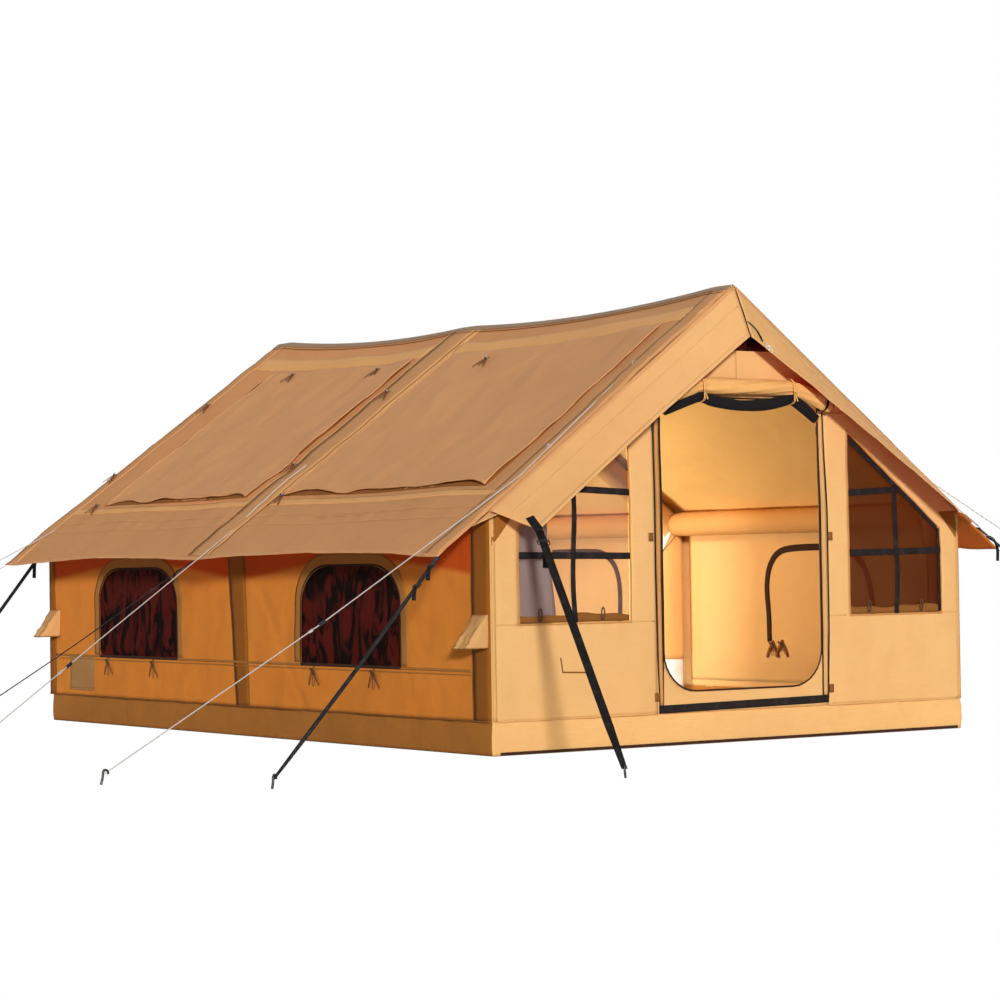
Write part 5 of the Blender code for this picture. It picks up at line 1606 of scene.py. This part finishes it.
# Visors: a two-sided hood of roof canvas over each gable, sewn on along the roof's edge and
# stretched outwards by a webbing strap at each corner. A gusset joins it to the eave flap.
visor_cloth = canvas("visor_canvas", (0.92, 0.54, 0.22), (0.80, 0.44, 0.16), 0.2)
# Painted shade: the visors' inner faces take a deep red for the shade under the visor, with no gloss or sheen
visor_lining = canvas("visor_lining", (0.95, 0.085, 0.004), (0.84, 0.07, 0.003), 0.5)
visor_gloss = visor_lining.node_tree.nodes["Principled BSDF"]
visor_gloss.inputs["Specular IOR Level"].default_value = 0.0
visor_gloss.inputs["Sheen Weight"].default_value = 0.0
pale_cord = cord_material("pale_cord", (0.85, 0.82, 0.76), (0.6, 0.55, 0.5))
visor_length, visor_depth, root_out, rear_peak_back = 1.98, 0.30, 2.5033, 0.228
for end, end_name in ((-1, "front"), (1, "rear")):
    root_y, peak = (-root_out, front_ridge) if end < 0 else (root_out - rear_peak_back, rear_ridge)
    for side, side_name in both_sides:
        root_ends = (Vector((side * 0.004, root_y, peak - 0.002)),
                     Vector((side * eave_x, end * root_out, eave_height)))
        free_ends = (root_ends[0] + Vector((0, end * 0.131, -0.279)),
                     root_ends[1] + Vector((-side * 0.116, end * 0.266, -0.1036)))

        def visor_place(s, t, lift, roots=root_ends, frees=free_ends, side=side, end=end):
            a, b = s / visor_length, t / visor_depth
            root, free = roots[0].lerp(roots[1], a), frees[0].lerp(frees[1], a)
            out = Vector((side * 0.4, end * 0.75, 0.55)).normalized()
            belly = 0.016 * math.sin(math.pi * a) * b
            push = waves(s, end * 70 + side, t, 2.2, 0.006, 1) + waves(s * 0.5, end * 70, t, 9, 0.003, 2)
            push += ridges(s, end * 70 + side, t * 0.5, 4.0, 0.003, 5)
            spot = root.lerp(free, b) + out * (0.001 + lift + max(-0.002, push) * min(1, b * 4))
            return spot + Vector((0, 0, belly))

        visor = cloth(f"{end_name}_visor_{side_name}_cloth", (0.0, visor_length), (0.0, visor_depth), 0.024,
                      visor_place)
        dress(visor, visor_cloth, stands_for=(f"{end_name}_visor_{side_name}",))
        # The inner faces get the visor's painted shade
        line_with(visor, visor_lining, (-side * 0.4, -end * 0.75, -0.55))
        sheet(visor)
        edge = [
            tape("hem", [(0.0, 0.288), (1.975, 0.288)], 0.024, visor_place, 0.0006),
            tape("seam", [(0.02, 0.115), (1.965, 0.115)], 0.008, visor_place, 0.0006),
        ]
        dress(joined(f"{end_name}_visor_hem_{side_name}", *edge), visor_cloth)
        root_tape = tape("root", [(0.01, 0.012), (1.97, 0.012)], 0.024, visor_place, 0.0012)
        root_tape.name = f"{end_name}_visor_root_{side_name}"
        dress(root_tape, roof_cloth)

        # The gusset that closes the corner between the visor and the eave flap
        flap_spot = roof_surface(side)(end * 2.495, -0.13, -0.004)
        visor_spot = visor_place(visor_length, 0.06, -0.003)
        top_spot = root_ends[1] + Vector((0, 0, -0.012))

        def gusset_place(u, v, top=top_spot, a=flap_spot, b=visor_spot):
            low = a.lerp(b, u)
            out = Vector((side * 0.7, end * 0.7, 0))
            return top.lerp(low, v) + out * 0.018 * v * math.sin(math.pi * u) * (1 + math.sin(u * 9) * 0.5)

        gusset = settle(grid(f"{end_name}_gusset_{side_name}", 12, 10, gusset_place, (0.25, 0.2)), 0.0012, 0)
        dress(gusset, visor_cloth)
        # The strap's sewn end, lying on the visor's corner
        anchor = band(f"{end_name}_strap_end_{side_name}", [
            visor_place(1.925 + 0.060 * step / 6, 0.205 + 0.100 * step / 6, 0.004) for step in range(7)
        ], visor_strap_width, 0.0016, tuple(visor_place(1.9, 0.25, 0) - visor_place(1.95, 0.21, 0)))
        dress(anchor, black_webbing)
        if side > 0:
            hook = band(f"{end_name}_peak_loop", [
                visor_place(s, t, 0.004 + 0.010 * math.sin(math.pi * (s / 0.10))) for s, t in (
                    (0.0, 0.215), (0.02, 0.225), (0.04, 0.235), (0.06, 0.247), (0.08, 0.26), (0.10, 0.275))
            ], 0.020, 0.0016)
            dress(hook, black_webbing)
            knot_spot = visor_place(0.12, 0.285, 0.006)
            knot = [
                knot_spot + Vector((
                    0.011 * math.sin(step * 0.9) + 0.0015 * step, end * 0.006 * math.cos(step * 1.3),
                    0.010 * math.cos(step * 0.9) - 0.0012 * step,
                )) for step in range(26)
            ]
            dress(tube(f"{end_name}_peak_cord", smooth_path(knot, 0.004), 0.0032, 6), pale_cord)

# The gable vent: a dark mesh triangle high in the front, in the visor's shade
vent = cloth("gable_vent", (-0.40, 0.40), (2.055, 2.34), 0.03, front_surface, lift=0.0012, thickness=0.0006,
             high=lambda x: 2.34 - abs(x) * 0.70)
dress(vent, dark_mesh)


# The rolled door: the canvas door and, under it, the black mesh one, each rolled up over the
# doorway. Two tied canvas loops and one of black webbing hold them, and they sag in between.
mesh_roll_cloth = canvas("mesh_roll_cloth", (0.012, 0.010, 0.012), (0.006, 0.005, 0.006), 0.0, 0.003, 1.2)
roll_cloth = canvas("roll_canvas", (0.90, 0.49, 0.165), (0.78, 0.39, 0.12), 0.1, crumple=1.8)
tie_left, tie_right, roll_y, roll_z = -0.278, 0.332, -2.549, 1.866


def hang(x, sag, drop):
    """How far a roll hangs below its ties: a sag between them, and ends that droop past them."""
    share = (x - tie_left) / (tie_right - tie_left)
    if 0 <= share <= 1:
        return sag * 4 * share * (1 - share)
    return drop * (max(tie_left - x, x - tie_right) / 0.25) ** 1.3


def rolled(start, length, radius, squeeze, seed):
    """A roll of cloth: soft ridges running round it, gathered where it is tied."""
    def at(share, angle):
        x = start + share * length
        near = math.exp(-((x - tie_left) / 0.05) ** 2) + math.exp(-((x - tie_right) / 0.05) ** 2)
        wrap = 0.0030 * math.sin(angle * 3 + share * 9 + seed) + 0.0018 * math.sin(angle * 7 + share * 31)
        gather = 0.004 * near * math.sin(angle * 9 + seed)
        end = 0.10 * math.exp(-(min(share, 1 - share) / 0.015) ** 2)
        return radius * (1 - squeeze * near - end) + wrap + gather - 0.003
    return at


for name, start, length, radius, y, z, sag, drops, material, slot, node in (
    ("door_roll_cloth", -0.585, 1.19, 0.044, roll_y, roll_z, 0.004, (0.085, 0.085), roll_cloth, "sand_canvas",
     "door_roll"),
    ("screen_roll_cloth", -0.51, 1.02, 0.031, roll_y + 0.004, 1.806, 0.044, (0.085, 0.165), mesh_roll_cloth,
     "black_mesh", "door_screen_roll"),
):
    path = [
        (x, y, z - hang(x, sag, drops[x > 0])) for x in (start + length * step / 70 for step in range(71))
    ]
    made = tube(name, path, rolled(start, length, radius, 0.12, z), 40)
    dress(made, material, stands_for=(node,))
    for end in (0, -1):
        centre_spot = Vector(path[end])
        outwards = -1 if end == 0 else 1
        spiral = [
            centre_spot + Vector((outwards * 0.002, 0, 0))
            + Vector((0, math.cos(a), math.sin(a))) * radius * 0.82 * a / 16 for a in (
                0.8 + 15.2 * step / 60 for step in range(61))
        ]
        dress(tube(f"{name}_turns_{abs(end)}", spiral, 0.0016, 6), brown_tape)

for tie_x, side_name in ((tie_left, "left"), (tie_right, "right")):
    ring = []
    for angle in full_turn(48):
        low = max(0, -math.sin(angle))
        reach = 0.046 - 0.008 * low
        ring.append(Vector((
            tie_x + 0.004 * math.sin(angle * 2), roll_y + reach * math.cos(angle),
            roll_z - 0.052 * min(1, low * 2.2) + reach * math.sin(angle),
        )))
    tie = band(f"door_tie_{side_name}_cloth", ring, 0.015, 0.0022, (1, 0, 0))
    dress(tie, roll_cloth, stands_for=(f"door_tie_{side_name}",))
    for number, lean in enumerate((-0.25, 0.3)):
        tail = [Vector((tie_x + lean * 0.006 * step, roll_y - 0.046 - 0.0008 * step, 1.838 - 0.007 * step))
                for step in range(8)]
        dress(band(f"door_tie_tail_{side_name}_{number}", tail, 0.009, 0.0014, (1, 0, 0)), tan_tape)
ring = [
    Vector((0.560 + 0.006 * math.sin(a), roll_y + 0.048 * math.cos(a), 1.791 + 0.049 * math.sin(a)))
    for a in full_turn(32)
]
dress(band("door_band_loop", ring, 0.016, 0.0016, (1, 0, 0)), black_webbing)


# Inflation valve and its cap, at the foot of the front left leg: the CAD's own shapes, in moulded
# black plastic.
for part_name in ("inflation_valve", "valve_cap"):
    nodes[part_name].data.materials.clear()
    nodes[part_name].data.materials.append(black_plastic)
